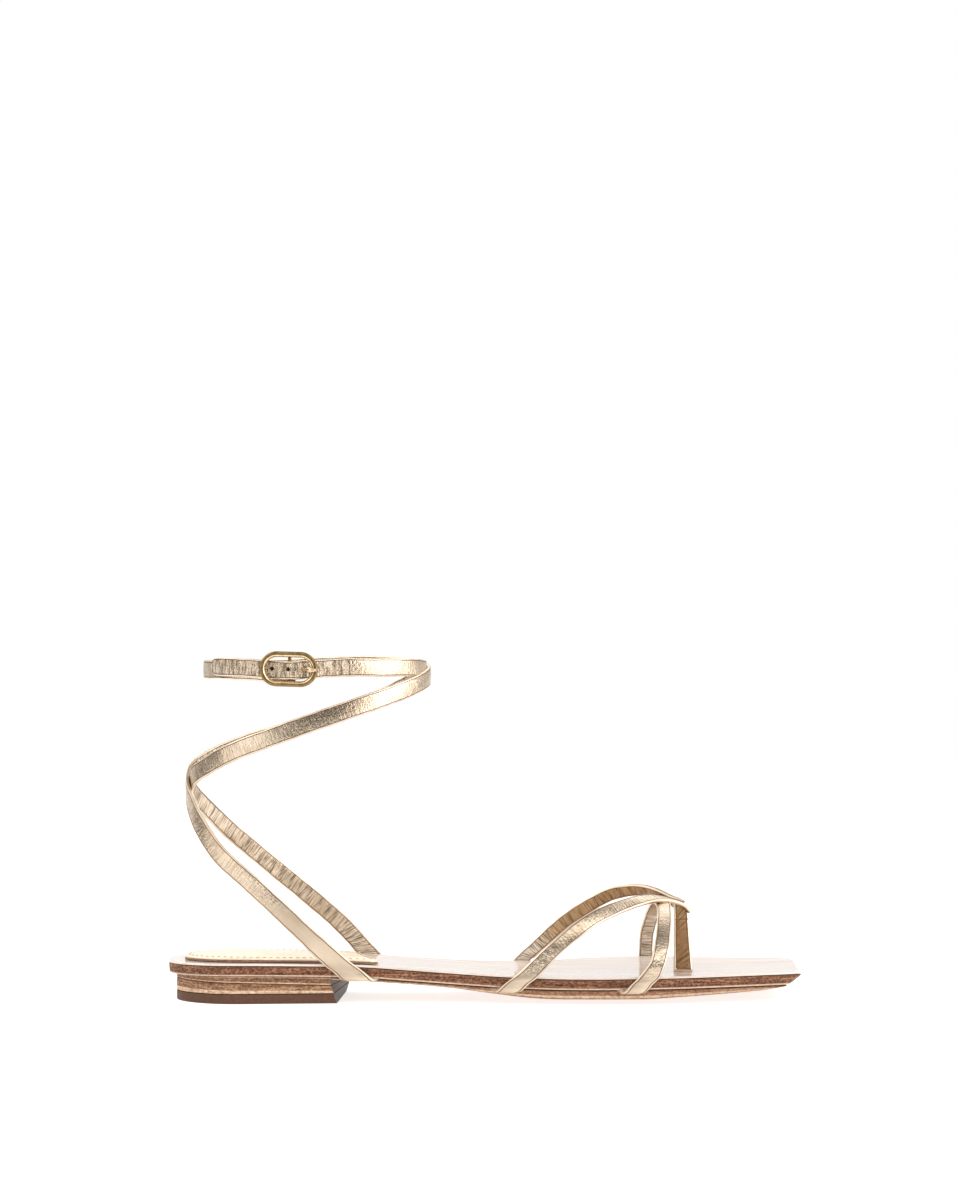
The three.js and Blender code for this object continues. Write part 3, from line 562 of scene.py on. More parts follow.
def oval_row(angle, offset):
    """A row on the oval of the top strap: 0 degrees front, 180 back, 270 outer side."""
    sag = BUCKLE_SAG * math.exp(-(((angle - BUCKLE_ANGLE) / BUCKLE_SAG_SPREAD) ** 2))
    turn = math.radians(angle)
    outward = unit(
        np.array([math.cos(turn) / ANKLE_HALF_LENGTH, math.sin(turn) / ANKLE_HALF_WIDTH, 0.0])
    )
    point = np.array([
        ANKLE_CENTRE + ANKLE_HALF_LENGTH * math.cos(turn),
        ANKLE_HALF_WIDTH * math.sin(turn),
        ANKLE_HEIGHT - sag,
    ])
    return point + outward * offset, outward, np.zeros(3)


BAR_LIFT = STRAP_THICKNESS / 2 + FIT_GAP + BAR_RADIUS
OVER_BAR = BAR_LIFT + BAR_RADIUS + FIT_GAP + STRAP_THICKNESS / 2
OVER_BASE = STRAP_THICKNESS + FIT_GAP
BUCKLE_OFFSET = OVER_BASE + STRAP_THICKNESS / 2 + FIT_GAP + BUCKLE_THICKNESS / 2

# The end that passes through the buckle: degrees ahead of the buckle and stand off the leg.
TAIL = [
    (32, 0), (20, 0), (13, 0.35 * OVER_BASE), (7, OVER_BASE), (3, 0.94 * OVER_BAR),
    (-2, OVER_BAR), (-8, 1.12 * OVER_BASE), (-13, OVER_BASE), (-24, OVER_BASE),
    (-38, OVER_BASE), (-50, OVER_BASE),
]

# Angles of the base end, and the two between which it runs down to its full drop.
BASE_ANGLES = [72, 90, 108, 126, 144, 162, 180, 198, 216, 234, 248, BUCKLE_ANGLE + 3]
DROP_START = 60
DROP_END = 108


def base_row(angle):
    point, out, ruling = oval_row(angle, 0)
    share = min((angle - DROP_START) / (DROP_END - DROP_START), 1.0)
    return point - UP * BASE_DROP * share, out, ruling


outer_wrap_rows = (
    anchor_rows("outer_wrap")
    + wrap_rows(OUTER_WRAP, -1)
    + [oval_row(BUCKLE_ANGLE + ahead, stand) for ahead, stand in TAIL]
)
inner_wrap_rows = (
    anchor_rows("inner_wrap")
    + wrap_rows(INNER_WRAP, 1)
    + [base_row(angle) for angle in BASE_ANGLES]
)
outer_vamp_rows = anchor_rows("outer_vamp") + vamp_rows(OUTER_VAMP, OUTER_VAMP_CORE)
inner_vamp_rows = anchor_rows("inner_vamp") + vamp_rows(INNER_VAMP, INNER_VAMP_CORE)
cross_rows = (
    anchor_rows("cross_outer")
    + vamp_rows(CROSS_BAND, CROSS_BAND_CORE)
    + anchor_rows("cross_inner")[::-1]
)


# Node materials

# Gold leather: tone of the painted shade in a wrinkle's valley, share of darkening in a crack, the
# grain's depth as a share of the crackle's, the spread of its roughness, and how much rougher it is
# when calm
VALLEY_SHADE_TONE = 0.32
CRACK_TONE = 0.16
GRAIN_DEPTH = 0.6
GOLD_SPREAD = 0.16
CALM_ROUGHNESS = 0.22
BRASS_SPREAD = 0.3


def add_node(tree, kind, inputs=None, **settings):
    """A node in a tree, its inputs linked or set to values."""
    node = tree.nodes.new(kind)
    for key, value in settings.items():
        setattr(node, key, value)
    for key, value in (inputs or {}).items():
        if isinstance(value, bpy.types.NodeSocket):
            tree.links.new(value, node.inputs[key])
        else:
            node.inputs[key].default_value = value
    return node


def add_ramp(tree, value, stops):
    """A colour ramp through (place, colour) stops; a colour may be one grey number."""
    node = add_node(tree, "ShaderNodeValToRGB", {"Fac": value})
    elements = node.color_ramp.elements
    while len(elements) < len(stops):
        elements.new(0.5)
    for element, (place, colour) in zip(elements, stops):
        element.position = place
        grey = isinstance(colour, (int, float))
        element.color = (colour, colour, colour, 1) if grey else (*colour, 1)
    return node.outputs["Color"]


class Shader:
    """A material and short calls for the nodes that feed it."""

    def __init__(self, name, roughness, metallic=0.0, **sockets):
        self.material = bpy.data.materials.new(name)
        self.material.use_nodes = True
        self.tree = self.material.node_tree
        self.surface = self.tree.nodes["Principled BSDF"]
        self.surface.inputs["Roughness"].default_value = roughness
        self.surface.inputs["Metallic"].default_value = metallic
        for socket, value in sockets.items():
            self.surface.inputs[socket.replace("_", " ")].default_value = value

    def node(self, kind, inputs=None, **settings):
        return add_node(self.tree, kind, inputs, **settings)

    def place(self, scale, attribute=None):
        """Coordinates in millimetres times scale: the object's, or a strap's own."""
        if attribute:
            vector = self.node("ShaderNodeAttribute", attribute_name=attribute).outputs["Vector"]
            size = scale
        else:
            vector = self.node("ShaderNodeTexCoord").outputs["Object"]
            size = [s / MM for s in scale]
        mapping = self.node("ShaderNodeMapping", {"Vector": vector, "Scale": size})
        return mapping.outputs["Vector"]

    def noise(self, vector, detail=3.0, rough=0.55, distortion=0.0):
        inputs = {
            "Vector": vector, "Scale": 1.0, "Detail": detail, "Roughness": rough,
            "Distortion": distortion,
        }
        return self.node("ShaderNodeTexNoise", inputs).outputs["Fac"]

    def cells(self, vector):
        """Distance to the nearest edge between cells."""
        inputs = {"Vector": vector, "Scale": 1.0}
        node = self.node("ShaderNodeTexVoronoi", inputs, feature="DISTANCE_TO_EDGE")
        return node.outputs["Distance"]

    def ramp(self, value, stops):
        return add_ramp(self.tree, value, stops)

    def math(self, operation, a, b, c=None):
        inputs = {0: a, 1: b} if c is None else {0: a, 1: b, 2: c}
        return self.node("ShaderNodeMath", inputs, operation=operation).outputs["Value"]

    def mix(self, share, a, b):
        """Colour a, or b where share is 1."""
        first, second = ((*part, 1) if isinstance(part, tuple) else part for part in (a, b))
        inputs = {0: share, 6: first, 7: second}
        return self.node("ShaderNodeMix", inputs, data_type="RGBA").outputs[2]

    def bump(self, height, depth, below=None):
        inputs = {"Height": height, "Distance": depth * MM, "Strength": 1.0}
        if below is not None:
            inputs["Normal"] = below
        return self.node("ShaderNodeBump", inputs).outputs["Normal"]

    def connect(self, **sockets):
        for name, value in sockets.items():
            self.tree.links.new(value, self.surface.inputs[name.replace("_", " ")])
        return self.material


def gold_leather(name, light, dark, wrinkle, crackle, roughness, shade, pitch, sheen_colour=None):
    """Foiled leather with crosswise wrinkles, painted shade in their valleys, and a fine crackle.

    wrinkle and crackle are depths in millimetres, shade is how dark the valleys' painted shade gets,
    and pitch is roughly the wrinkles in one.
    Near a strap's feet the leather lies smooth, or, where a pale colour is given, keeps its wrinkles
    and turns to that colour, a painted reflection of the bright insole.
    """
    shader = Shader(name, roughness, 1.0)
    calm_and_sheen = shader.node("ShaderNodeAttribute", attribute_name="calm_and_sheen").outputs["Fac"]
    creased = shader.math("SUBTRACT", 1.0, calm_and_sheen) if sheen_colour is None else 1.0
    patches = shader.noise(shader.place((0.05, 0.12, 0.1), "strap"), 2.0)
    colour = shader.ramp(patches, [(0.35, dark), (0.62, light)])
    # Painted reflection: the lining turns pale near the strap's feet, where it mirrors the bright
    # insole.
    if sheen_colour is not None:
        colour = shader.mix(calm_and_sheen, colour, sheen_colour)
    lines = shader.noise(shader.place((pitch, 0.13, 0.3), "strap"), 4.0, 0.6, 0.25)
    grain = shader.noise(shader.place((1.6, 1.6, 1.6), "strap"), 3.0, 0.65)
    warp = shader.place((0.75, 0.6, 0.7), "strap")
    shift = shader.node("ShaderNodeTexNoise", {"Vector": warp, "Scale": 1.6, "Detail": 2.0})
    bent = shader.node(
        "ShaderNodeVectorMath", {0: warp, 1: shift.outputs["Color"]}, operation="ADD")
    cracks = shader.ramp(shader.cells(bent.outputs["Vector"]), [(0.0, 0.0), (0.4, 1.0)])
    darkened = shader.mix(CRACK_TONE, colour, shader.mix(cracks, dark, colour))
    # Painted shade: on creased leather the wrinkles' valleys darken towards a dark tone, by shade.
    valleys = shader.ramp(lines, [(0.4, shade), (0.53, 0.0)])
    valleys = shader.math("MULTIPLY", valleys, creased)
    darkened = shader.mix(valleys, darkened, tuple(VALLEY_SHADE_TONE * part for part in dark))
    folds = shader.math("MULTIPLY", lines, creased)
    crackles = shader.math("MULTIPLY", cracks, creased)
    normal = shader.bump(folds, wrinkle)
    normal = shader.bump(crackles, crackle, normal)
    normal = shader.bump(grain, crackle * GRAIN_DEPTH, normal)
    rough = shader.math("MULTIPLY_ADD", grain, GOLD_SPREAD, roughness - GOLD_SPREAD / 2)
    rough = shader.math("MULTIPLY_ADD", calm_and_sheen, CALM_ROUGHNESS, rough)
    return shader.connect(Base_Color=darkened, Normal=normal, Roughness=rough)


def edge_leather(name, low, middle, high, fineness):
    """Cut edge of stacked leather: speckles of a fineness, drawn out along the sole."""
    shader = Shader(name, 0.6, Specular_IOR_Level=0.2)
    speckle = shader.noise(shader.place((0.9 * fineness, 0.9 * fineness, 1.5 * fineness)), 5.0, 0.75)
    streak = shader.noise(shader.place((0.06, 0.06, 1.2)), 3.0, 0.6)
    mixed = shader.math("MULTIPLY_ADD", speckle, 0.72, shader.math("MULTIPLY", streak, 0.28))
    colour = shader.ramp(mixed, [(0.4, low), (0.5, middle), (0.6, high)])
    normal = shader.bump(speckle, 0.12)
    return shader.connect(Base_Color=colour, Normal=normal)


def plain_leather(name, low, high, roughness, depth, scale=(0.8, 0.8, 0.8), **sockets):
    """Leather or rubber with soft mottling and a fine grain, of a depth in millimetres."""
    shader = Shader(name, roughness, **sockets)
    mottle = shader.noise(shader.place(scale), 4.0, 0.6)
    grain = shader.noise(shader.place((3.0, 3.0, 3.0)), 3.0, 0.6)
    colour = shader.ramp(mottle, [(0.35, low), (0.65, high)])
    return shader.connect(Base_Color=colour, Normal=shader.bump(grain, depth))


def insole_leather():
    """Glossy pale foiled leather with fine streaks along the foot."""
    shader = Shader("insole_leather", 0.2, 0.1, Coat_Weight=0.6, Coat_Roughness=0.06)
    streak = shader.noise(shader.place((0.012, 0.55, 0.4)), 5.0, 0.65)
    fine = shader.noise(shader.place((0.06, 2.0, 1.0)), 3.0, 0.6)
    colour = shader.ramp(streak, [(0.34, (0.58, 0.47, 0.40)), (0.62, (0.73, 0.62, 0.54))])
    normal = shader.bump(streak, 0.02)
    normal = shader.bump(fine, 0.006, normal)
    return shader.connect(Base_Color=colour, Normal=normal)


def brass(name, low, high, roughness, depth):
    """Brass with rubbed patches and fine pits."""
    shader = Shader(name, roughness, 1.0)
    patches = shader.noise(shader.place((0.5, 0.5, 0.5)), 4.0, 0.7)
    pits = shader.noise(shader.place((3.0, 3.0, 3.0)), 3.0, 0.6)
    colour = shader.ramp(patches, [(0.35, low), (0.65, high)])
    rough = shader.math("MULTIPLY_ADD", patches, BRASS_SPREAD, roughness - BRASS_SPREAD / 2)
    return shader.connect(Base_Color=colour, Normal=shader.bump(pits, depth), Roughness=rough)


GOLD_LIGHT = (0.70, 0.57, 0.43)
GOLD_DARK = (0.54, 0.42, 0.30)
# shade sets the strength of each leather's painted shade in its wrinkle valleys; the tail's is the
# strongest.
outer_face = gold_leather(
    "strap_outer", GOLD_LIGHT, GOLD_DARK,
    wrinkle=0.13, crackle=0.06, roughness=0.24, shade=0.3, pitch=1.3)
tail_face = gold_leather(
    "strap_tail", GOLD_LIGHT, GOLD_DARK,
    wrinkle=0.5, crackle=0.2, roughness=0.22, shade=0.9, pitch=1.0)
# The linings' pale colours near the straps' feet are a painted reflection of the bright insole.
ankle_lining = gold_leather(
    "ankle_lining", (0.74, 0.61, 0.47), (0.58, 0.45, 0.32), sheen_colour=(0.82, 0.72, 0.59),
    wrinkle=0.6, crackle=0.08, roughness=0.3, shade=1.0, pitch=2.3)
# The vamp lining's brown is painted shade and gold-on-gold reflection on the same foil as the face.
shaded_vamp_lining = gold_leather(
    "shaded_vamp_lining", (0.52, 0.34, 0.19), (0.40, 0.25, 0.13), sheen_colour=(0.86, 0.77, 0.65),
    wrinkle=0.6, crackle=0.08, roughness=0.32, shade=0.9, pitch=2.2)
post_face = gold_leather(
    "strap_post", (0.42, 0.26, 0.135), (0.31, 0.18, 0.09),
    wrinkle=0.4, crackle=0.05, roughness=0.3, shade=0.6, pitch=1.6)
# Painted highlight: a paler copy of the gold for the folded edges, the post's hem and the strap
# ends.
fold_highlight_face = gold_leather(
    "strap_fold_highlight", (0.74, 0.62, 0.49), (0.60, 0.47, 0.35),
    wrinkle=0.06, crackle=0.03, roughness=0.32, shade=0.0, pitch=0.9)
# Painted shade: the dark colour of strap grooves, the gaps between sole layers, the post's seams and
# the hole walls.
groove_shade_face = plain_leather(
    "strap_groove_shade", (0.12, 0.06, 0.03), (0.24, 0.13, 0.07), roughness=0.7, depth=0.05)

insole_face = insole_leather()
board_edge = edge_leather(
    "board_edge", (0.04, 0.014, 0.007), (0.155, 0.06, 0.03), (0.37, 0.19, 0.105), fineness=1.0)
board_line = plain_leather(
    "board_line", (0.45, 0.30, 0.20), (0.62, 0.46, 0.34), roughness=0.5, depth=0.05)
board_flesh = plain_leather(
    "board_flesh", (0.30, 0.17, 0.11), (0.40, 0.25, 0.16), roughness=0.75, depth=0.1)
lift_edge = edge_leather(
    "lift_edge", (0.10, 0.045, 0.022), (0.24, 0.115, 0.06), (0.47, 0.29, 0.17), fineness=0.9)
lift_line_face = edge_leather(
    "lift_line", (0.34, 0.19, 0.11), (0.55, 0.37, 0.24), (0.72, 0.56, 0.40), fineness=0.8)
toplift_face = plain_leather(
    "toplift", (0.085, 0.038, 0.02), (0.11, 0.053, 0.03), roughness=0.6, depth=0.04,
    Specular_IOR_Level=0.25)
# Painted shade: the heel's breast, under the arch, is coloured much darker than the lifts' edges.
breast_shade_face = plain_leather(
    "heel_breast_shade", (0.045, 0.03, 0.02), (0.10, 0.072, 0.052), roughness=0.5, depth=0.05,
    Specular_IOR_Level=0.3)
outsole_edge = edge_leather(
    "outsole_edge", (0.13, 0.055, 0.03), (0.28, 0.13, 0.07), (0.45, 0.26, 0.16), fineness=0.8)
# Painted highlight: a paler band low on the outsole's edge.
outsole_rim_highlight = edge_leather(
    "outsole_rim_highlight", (0.36, 0.22, 0.13), (0.54, 0.37, 0.24), (0.70, 0.54, 0.39), fineness=0.8)
outsole_tread = plain_leather(
    "outsole_tread", (0.42, 0.25, 0.15), (0.52, 0.33, 0.21), roughness=0.5, depth=0.05,
    scale=(0.05, 0.3, 0.3))

pad_face = plain_leather(
    "pad_face", (0.74, 0.61, 0.44), (0.83, 0.71, 0.54), roughness=0.36, depth=0.03,
    scale=(0.15, 0.15, 0.15), Metallic=0.2, Coat_Weight=0.2, Coat_Roughness=0.2)
pad_edge_face = plain_leather(
    "pad_edge", (0.20, 0.10, 0.06), (0.34, 0.19, 0.12), roughness=0.7, depth=0.08)
thread_face = plain_leather(
    "thread", (0.42, 0.29, 0.18), (0.58, 0.43, 0.28), roughness=0.6, depth=0.05)
# Two copies of one brass: a darker one for the ring's face and bar, and a brighter one, a painted
# highlight, for the ring's inner bevel and the prong.
brass_face = brass("brass_face", (0.20, 0.125, 0.05), (0.34, 0.225, 0.10), 0.42, 0.02)
brass_highlight = brass("brass_highlight", (0.62, 0.44, 0.25), (0.86, 0.68, 0.46), 0.24, 0.01)


# Sole pieces

long_stations = station_shares(TOE_END - HEEL_END, HEEL_END_LENGTH, TOE_CORNER_RADIUS, 90)
wide_columns = mirrored(
    np.concatenate([[0.0], np.linspace(0.12, 0.88, 7), [0.93, 0.96, 0.98, 0.99, 1.0]]))

# How the layers under the foot end at the toe
SOLE_ENDS = {"end_slant": TOE_SLANT, "reach": END_REACH}


def raised(base, height):
    return lambda x, y: base(x, y) + height


def between(upper, lower, share):
    return lambda x, y: upper(x, y) * (1 - share) + lower(x, y) * share


def build_insole():
    """Thin sheet whose top edge rolls over: inset and drop of each level."""
    rolls = [(0.45, 0.0), (0.2, -0.05), (0.04, -0.2), (0.0, -0.4), (0.05, -0.8)]
    levels = [
        {
            "start": HEEL_END + inset, "end": TOE_END - inset, "inset": inset,
            "height": raised(bed_height, drop), "mark": 0, "wall": 0, **SOLE_ENDS,
        }
        for inset, drop in rolls
    ]
    piece = layered_solid("insole_sheet", levels, long_stations, wide_columns, [insole_face])
    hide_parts("insole")
    return piece


def board_level(depth, proud, mark):
    """A level of the board at a depth under its top, in millimetres."""
    share = depth / BOARD_THICKNESS
    inset = BOARD_EDGE_TUCK * share - proud
    return {
        "start": HEEL_END + inset, "end": TOE_END - BOARD_TOE_TAPER * share - max(-proud, 0),
        "inset": inset, "height": between(board_top, board_bottom, share),
        "mark": 2, "wall": mark, **SOLE_ENDS,
    }


def build_board():
    """Leather board with its speckled edge and a light line along the bottom."""
    low = BOARD_THICKNESS

    # Material 3 is the groove's painted shade, in the recessed lines at the board's top and near its
    # bottom.
    # Depth, how far the edge stands proud, and the material of the wall below
    rounds = [
        (0.0, -0.35, 3), (0.12, -0.12, 0), (0.4, 0.0, 0), (0.5 * low, 0.0, 0),
        (low - 0.75, 0.0, 3), (low - 0.66, -0.18, 1), (low - 0.5, 0.0, 1),
        (low - 0.15, 0.0, 1), (low, -0.3, 2),
    ]
    levels = [board_level(*row) for row in rounds]
    slots = [board_edge, board_line, board_flesh, groove_shade_face]
    piece = layered_solid("board_layer", levels, long_stations, wide_columns, slots)
    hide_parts("midsole_board")
    return piece


def build_outsole():
    """Leather outsole with a rounded lower edge, dark lines of painted shade at its top and above a
    paler band of painted highlight lower down.
    """
    rear = sole_x(BREAST_PLACE) + FIT_GAP
    upper_toe = TOE_END - BOARD_TOE_TAPER - OUTSOLE_TOE_SETBACK

    # Share of the thickness, inset, and the material of the wall below
    rounds = [(0.0, 0.3, 2), (0.07, 0.1, 0), (0.3, 0.0, 0), (0.52, 0.1, 2), (0.57, 0.1, 3),
              (0.8, 0.55, 3), (0.88, 0.8, 0), (1.0, OUTSOLE_EDGE_ROUND, 1)]
    levels = []
    for share, inset, mark in rounds:
        toe = upper_toe - OUTSOLE_TOE_TAPER * inset / OUTSOLE_EDGE_ROUND
        levels.append({
            "start": rear, "end": toe, "start_slant": BREAST_SLANT, "back": HEEL_END,
            "inset": OUTSOLE_INSET + inset, "height": between(outsole_top, outsole_bottom, share),
            "mark": 1, "wall": mark, **SOLE_ENDS,
        })
    stations = station_shares(upper_toe - rear, HEEL_END_LENGTH, TOE_CORNER_RADIUS, 70)
    slots = [outsole_edge, outsole_tread, groove_shade_face, outsole_rim_highlight]
    piece = layered_solid("outsole_layer", levels, stations, wide_columns, slots)
    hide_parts("outsole")
    return piece


def slant_at(height):
    """Slant of the breast, which lessens from the lower lift's top to the ground."""
    share = min(height / LIFT_LINE_FRONT, 1.0)
    return BREAST_GROUND_SLANT + (BREAST_SLANT - BREAST_GROUND_SLANT) * share


def build_lift(name, node, top, bottom, ends, rounds, slots):
    """One lift of the heel.

    ends are its heights at the breast. rounds are shares of its height, inset and material.
    """
    front = sole_x(BREAST_PLACE)
    levels = [
        {
            "start": HEEL_END + HEEL_BACK_INSET + inset, "end": front,
            "end_slant": slant_at(ends[0] + (ends[1] - ends[0]) * share),
            "inset": HEEL_INSET + inset, "front": TOE_END, "height": between(top, bottom, share),
            "mark": 0, "wall": mark, "breast": len(slots) - 1,
        }
        for share, inset, mark in rounds
    ]
    length = front - HEEL_END - HEEL_BACK_INSET
    stations = station_shares(length, HEEL_END_LENGTH, HEEL_END_LENGTH / 2, 20)
    piece = layered_solid(name, levels, stations, wide_columns, slots)
    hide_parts(node)
    return piece


def flat(height):
    return lambda x, y: np.full(np.shape(x), float(height))


def build_heel():
    """Two leather lifts and the rubber tip."""
    upper_rounds = [(0.0, 0.2, 1), (0.1, 0.0, 1), (0.16, 0.0, 0), (0.8, 0.0, 1),
                    (0.93, 0.0, 1), (1.0, 0.2, 0)]
    lower_rounds = [(0.0, 0.2, 0), (0.08, 0.0, 0), (0.66, 0.0, 1), (0.94, 0.0, 1), (1.0, 0.15, 0)]
    top_rounds = [(0.0, 0.15, 0), (0.06, 0.0, 0), (0.8, 0.0, 0), (0.95, 0.12, 0), (1.0, 0.4, 0)]
    faces = [lift_edge, lift_line_face, breast_shade_face]
    return [
        build_lift("heel_upper_layer", "heel_lift_upper", outsole_top, lift_line,
                   (SEAT_HEIGHT, LIFT_LINE_FRONT), upper_rounds, faces),
        build_lift("heel_lower_layer", "heel_lift_lower",
                   raised(lift_line, -FIT_GAP), flat(TOPLIFT + FIT_GAP),
                   (LIFT_LINE_FRONT, TOPLIFT), lower_rounds, faces),
        build_lift("heel_tip", "heel_toplift", flat(TOPLIFT), flat(0),
                   (TOPLIFT, 0), top_rounds, [toplift_face, breast_shade_face]),
    ]


# Heel pad

def pad_level(inset, height, wall):
    return {
        "start": HEEL_END + PAD_BACK_INSET + inset, "end": sole_x(PAD_FRONT_PLACE) - inset,
        "end_slant": PAD_FRONT_SLANT, "inset": PAD_INSET + inset,
        "height": raised(bed_height, FIT_GAP + height), "mark": 0, "wall": wall,
    }


def pad_shape(top):
    """Crowned top, with the stitch line pulled in and a shallow dip towards the front."""
    rim = edge_loop(top)
    flat_points = top.reshape(-1, 3)
    gap = np.linalg.norm(flat_points[:, None, :2] - rim[None, :, :2], axis=2).min(axis=1)
    seam = PAD_SEAM * hump(gap, STITCH_INSET, 0.4)
    crown = PAD_ROLL * (1 - np.exp(-gap / 0.5))
    crown = crown + PAD_CROWN * (1 - np.exp(-np.maximum(gap - 2.2, 0) / 5))
    along = (flat_points[:, 0] - HEEL_END) / (sole_x(PAD_FRONT_PLACE) - HEEL_END)
    dip = PAD_DIP * hump(along, PAD_DIP_PLACE, 0.1) * np.clip(gap / 8, 0, 1)
    shaped = flat_points.copy()
    shaped[:, 2] += crown - seam - dip
    return shaped.reshape(top.shape)


def build_pad():
    """Stitched heel pad, and its row of stitches."""
    stations = station_shares(
        sole_x(PAD_FRONT_PLACE) - HEEL_END - PAD_BACK_INSET, HEEL_END_LENGTH, TOE_CORNER_RADIUS, 60)
    columns = mirrored(np.concatenate([np.linspace(0, 0.84, 12), np.linspace(0.865, 1, 8)]))

    # Inset, height over the insole, and the material of the wall below
    rounds = [
        (0.25, PAD_THICKNESS - 0.25, 0), (0.05, PAD_THICKNESS - 0.45, 0), (0.0, PAD_EDGE + 0.1, 1),
        (0.12, PAD_EDGE, 1), (0.0, PAD_EDGE - 0.15, 1), (0.0, 0.0, 1),
    ]
    levels = [pad_level(*row) for row in rounds]
    faces = [pad_face, pad_edge_face]
    piece = layered_solid("heel_pad_leather", levels, stations, columns, faces, pad_shape)
    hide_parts("heel_pad")
    seam = layer_grid(pad_level(0.25 + STITCH_INSET, PAD_THICKNESS - 0.02, 0), stations, columns)
    return [piece, build_stitches("heel_pad_stitches", edge_loop(seam))]


def build_stitches(name, path):
    """Short threads along a closed path, their ends sunk into the leather."""
    closed = np.vstack([path, path[:1]])
    arc = arc_lengths(closed)
    count = int(arc[-1] / (STITCH_LENGTH + STITCH_GAP))
    points, faces = [], []
    sides = 8
    shares = np.linspace(0, 1, STITCH_POINTS)
    size = THREAD_RADIUS * np.sqrt(np.clip(1 - (2 * shares - 1) ** 4, 0.04, 1))
    for k in range(count):
        places = (k + 0.5) * arc[-1] / count + (shares - 0.5) * STITCH_LENGTH
        centre = np.stack([np.interp(places % arc[-1], arc, closed[:, i]) for i in range(3)], 1)
        centre[:, 2] += STITCH_RISE * np.sin(shares * math.pi)
        points.append(wire_rings(centre, size, sides, UP).reshape(-1, 3))
        faces += tube_faces(STITCH_POINTS, sides, k * STITCH_POINTS * sides)
    marks = np.zeros(len(faces))
    piece = make_mesh(name, np.concatenate(points), faces, marks, [thread_face], merge=False)
    return piece


# Straps

# Half a strap's edge, from the outer face's border to the lining's: millimetres in from the
# edge, height over the strap's middle, and the material of the side that follows.
# FOLD sides take a paler gold, a painted highlight on the folded edges.
FACE, FOLD, GROOVE, LINING, TAIL_FACE = range(5)
# GROOVE sides take the groove's painted shade.
STRAP_EDGE = [
    (0.9, 0.8, GROOVE), (0.84, 0.62, GROOVE), (0.66, 0.62, GROOVE), (0.58, 0.8, FOLD),
    (0.34, 0.76, FOLD), (0.12, 0.58, FOLD), (0.02, 0.3, FOLD), (0.0, 0.0, FOLD),
    (0.05, -0.32, FOLD), (0.2, -0.66, FOLD), (0.55, -0.8, GROOVE), (0.62, -0.6, GROOVE),
    (0.8, -0.6, GROOVE), (0.86, -0.8, LINING), (1.2, -0.9, LINING),
]
FACE_CROWN = 0.1

# Slight waves of a strap's edges: height, pace along it and start, and how wide an edge is
EDGE_WAVES = [(0.05, 0.37, 1.3), (0.035, 0.91, 0.4)]
EDGE_WIDTH = 1.3


def strap_profile(half):
    """Section of a folded strap: its points, and the material of the side after each."""
    border = half - STRAP_EDGE[0][0]
    face = np.linspace(border, -border, 17)[:-1]
    outer = [(w, STRAP_THICKNESS / 2 - FACE_CROWN * (w / border) ** 2, FACE) for w in face]
    left = [(inward - half, height, mark) for inward, height, mark in STRAP_EDGE]
    inside = half - STRAP_EDGE[-1][0] - 0.6
    lining = [(w, -STRAP_THICKNESS / 2, LINING) for w in np.linspace(-inside, inside, 9)]
    right = [
        (half - inward, height, before[2])
        for (inward, height, _), before in zip(STRAP_EDGE[:0:-1], STRAP_EDGE[-2::-1])
    ]
    ring = outer + left + lining + right
    return np.array([row[:2] for row in ring]), np.array([row[2] for row in ring])


def relief(name, place, width):
    """How far creases push a strap's faces in, at places along and across it."""
    push = np.zeros(np.broadcast(place, width).shape)
    for where, depth, spread, lean in CREASES.get(name, []):
        gap = (place + lean * width - where) / spread
        push -= depth * np.exp(-(gap**2)) - 0.4 * depth * np.exp(-((gap - 2.0) ** 2))
    return push


def build_strap(name, rows, width, slots, narrow_end=0.0, tail_length=0.0):
    """A folded strap swept along its rows, with creases and a narrowed end."""
    place, centre, out, across = strap_sections(rows, STRAP_STEP)
    profile, marks = strap_profile(width / 2)
    w = np.repeat(profile[None, :, 0], len(place), axis=0)
    t = np.repeat(profile[None, :, 1], len(place), axis=0)
    s = np.repeat(place[:, None], len(profile), axis=1)
    push = relief(name, s, w)
    t = t + np.where(t > 0, push, -0.5 * push)
    wave = sum(height * np.sin(s * pace + start) for height, pace, start in EDGE_WAVES)
    w = w + np.sign(w) * np.where(np.abs(w) > width / 2 - EDGE_WIDTH, wave, 0)
    if narrow_end:
        left = place[-1] - place
        taper = np.sqrt(np.clip(1 - np.clip(1 - left / narrow_end, 0, 1) ** 2, 0.03, 1))
        w = w * taper[:, None]
    points = centre[:, None] + across[:, None] * w[..., None] + out[:, None] * t[..., None]
    marks = np.repeat(marks[None, :], len(place) - 1, axis=0)
    in_tail = (place[1:] > place[-1] - tail_length)[:, None]
    marks = np.where(in_tail & (marks == FACE), TAIL_FACE, marks)
    # Near each foot the face is smooth and the lining takes the painted reflection of the bright
    # insole.
    calm_and_sheen = np.zeros_like(s)
    for foot in FEET[name]:
        past = (np.abs(s - foot) - CALM_AND_SHEEN_REACH[name]) / CALM_AND_SHEEN_FADE
        calm_and_sheen = np.maximum(calm_and_sheen, 1 / (1 + np.exp(past)))
    return close_sweep(name, points, marks, slots, np.stack([s, w, t], axis=-1), calm_and_sheen)


def close_sweep(name, points, marks, slots, coordinates, calm_and_sheen=None):
    """Mesh round a sweep of closed sections, with capped ends."""
    rows, columns = points.shape[:2]
    faces = tube_faces(rows, columns)
    face_marks = np.broadcast_to(marks, (rows - 1, columns)).reshape(-1)
    all_marks = np.concatenate([face_marks, [FOLD, FOLD]])
    return make_mesh(
        name, points.reshape(-1, 3), faces, all_marks, slots, coordinates.reshape(-1, 3),
        merge=False, calm_and_sheen=calm_and_sheen,
    )


# Toe post: its grid, places in from its edge, and the fold's place under its head
POST_ROWS = 70
POST_COLUMNS = 41
POST_EDGE = 0.35
POST_SEAM_INSET = 1.15
POST_WELT_INSET = 0.75
POST_HEM = 0.9
POST_FOLD_PLACE = 5.6


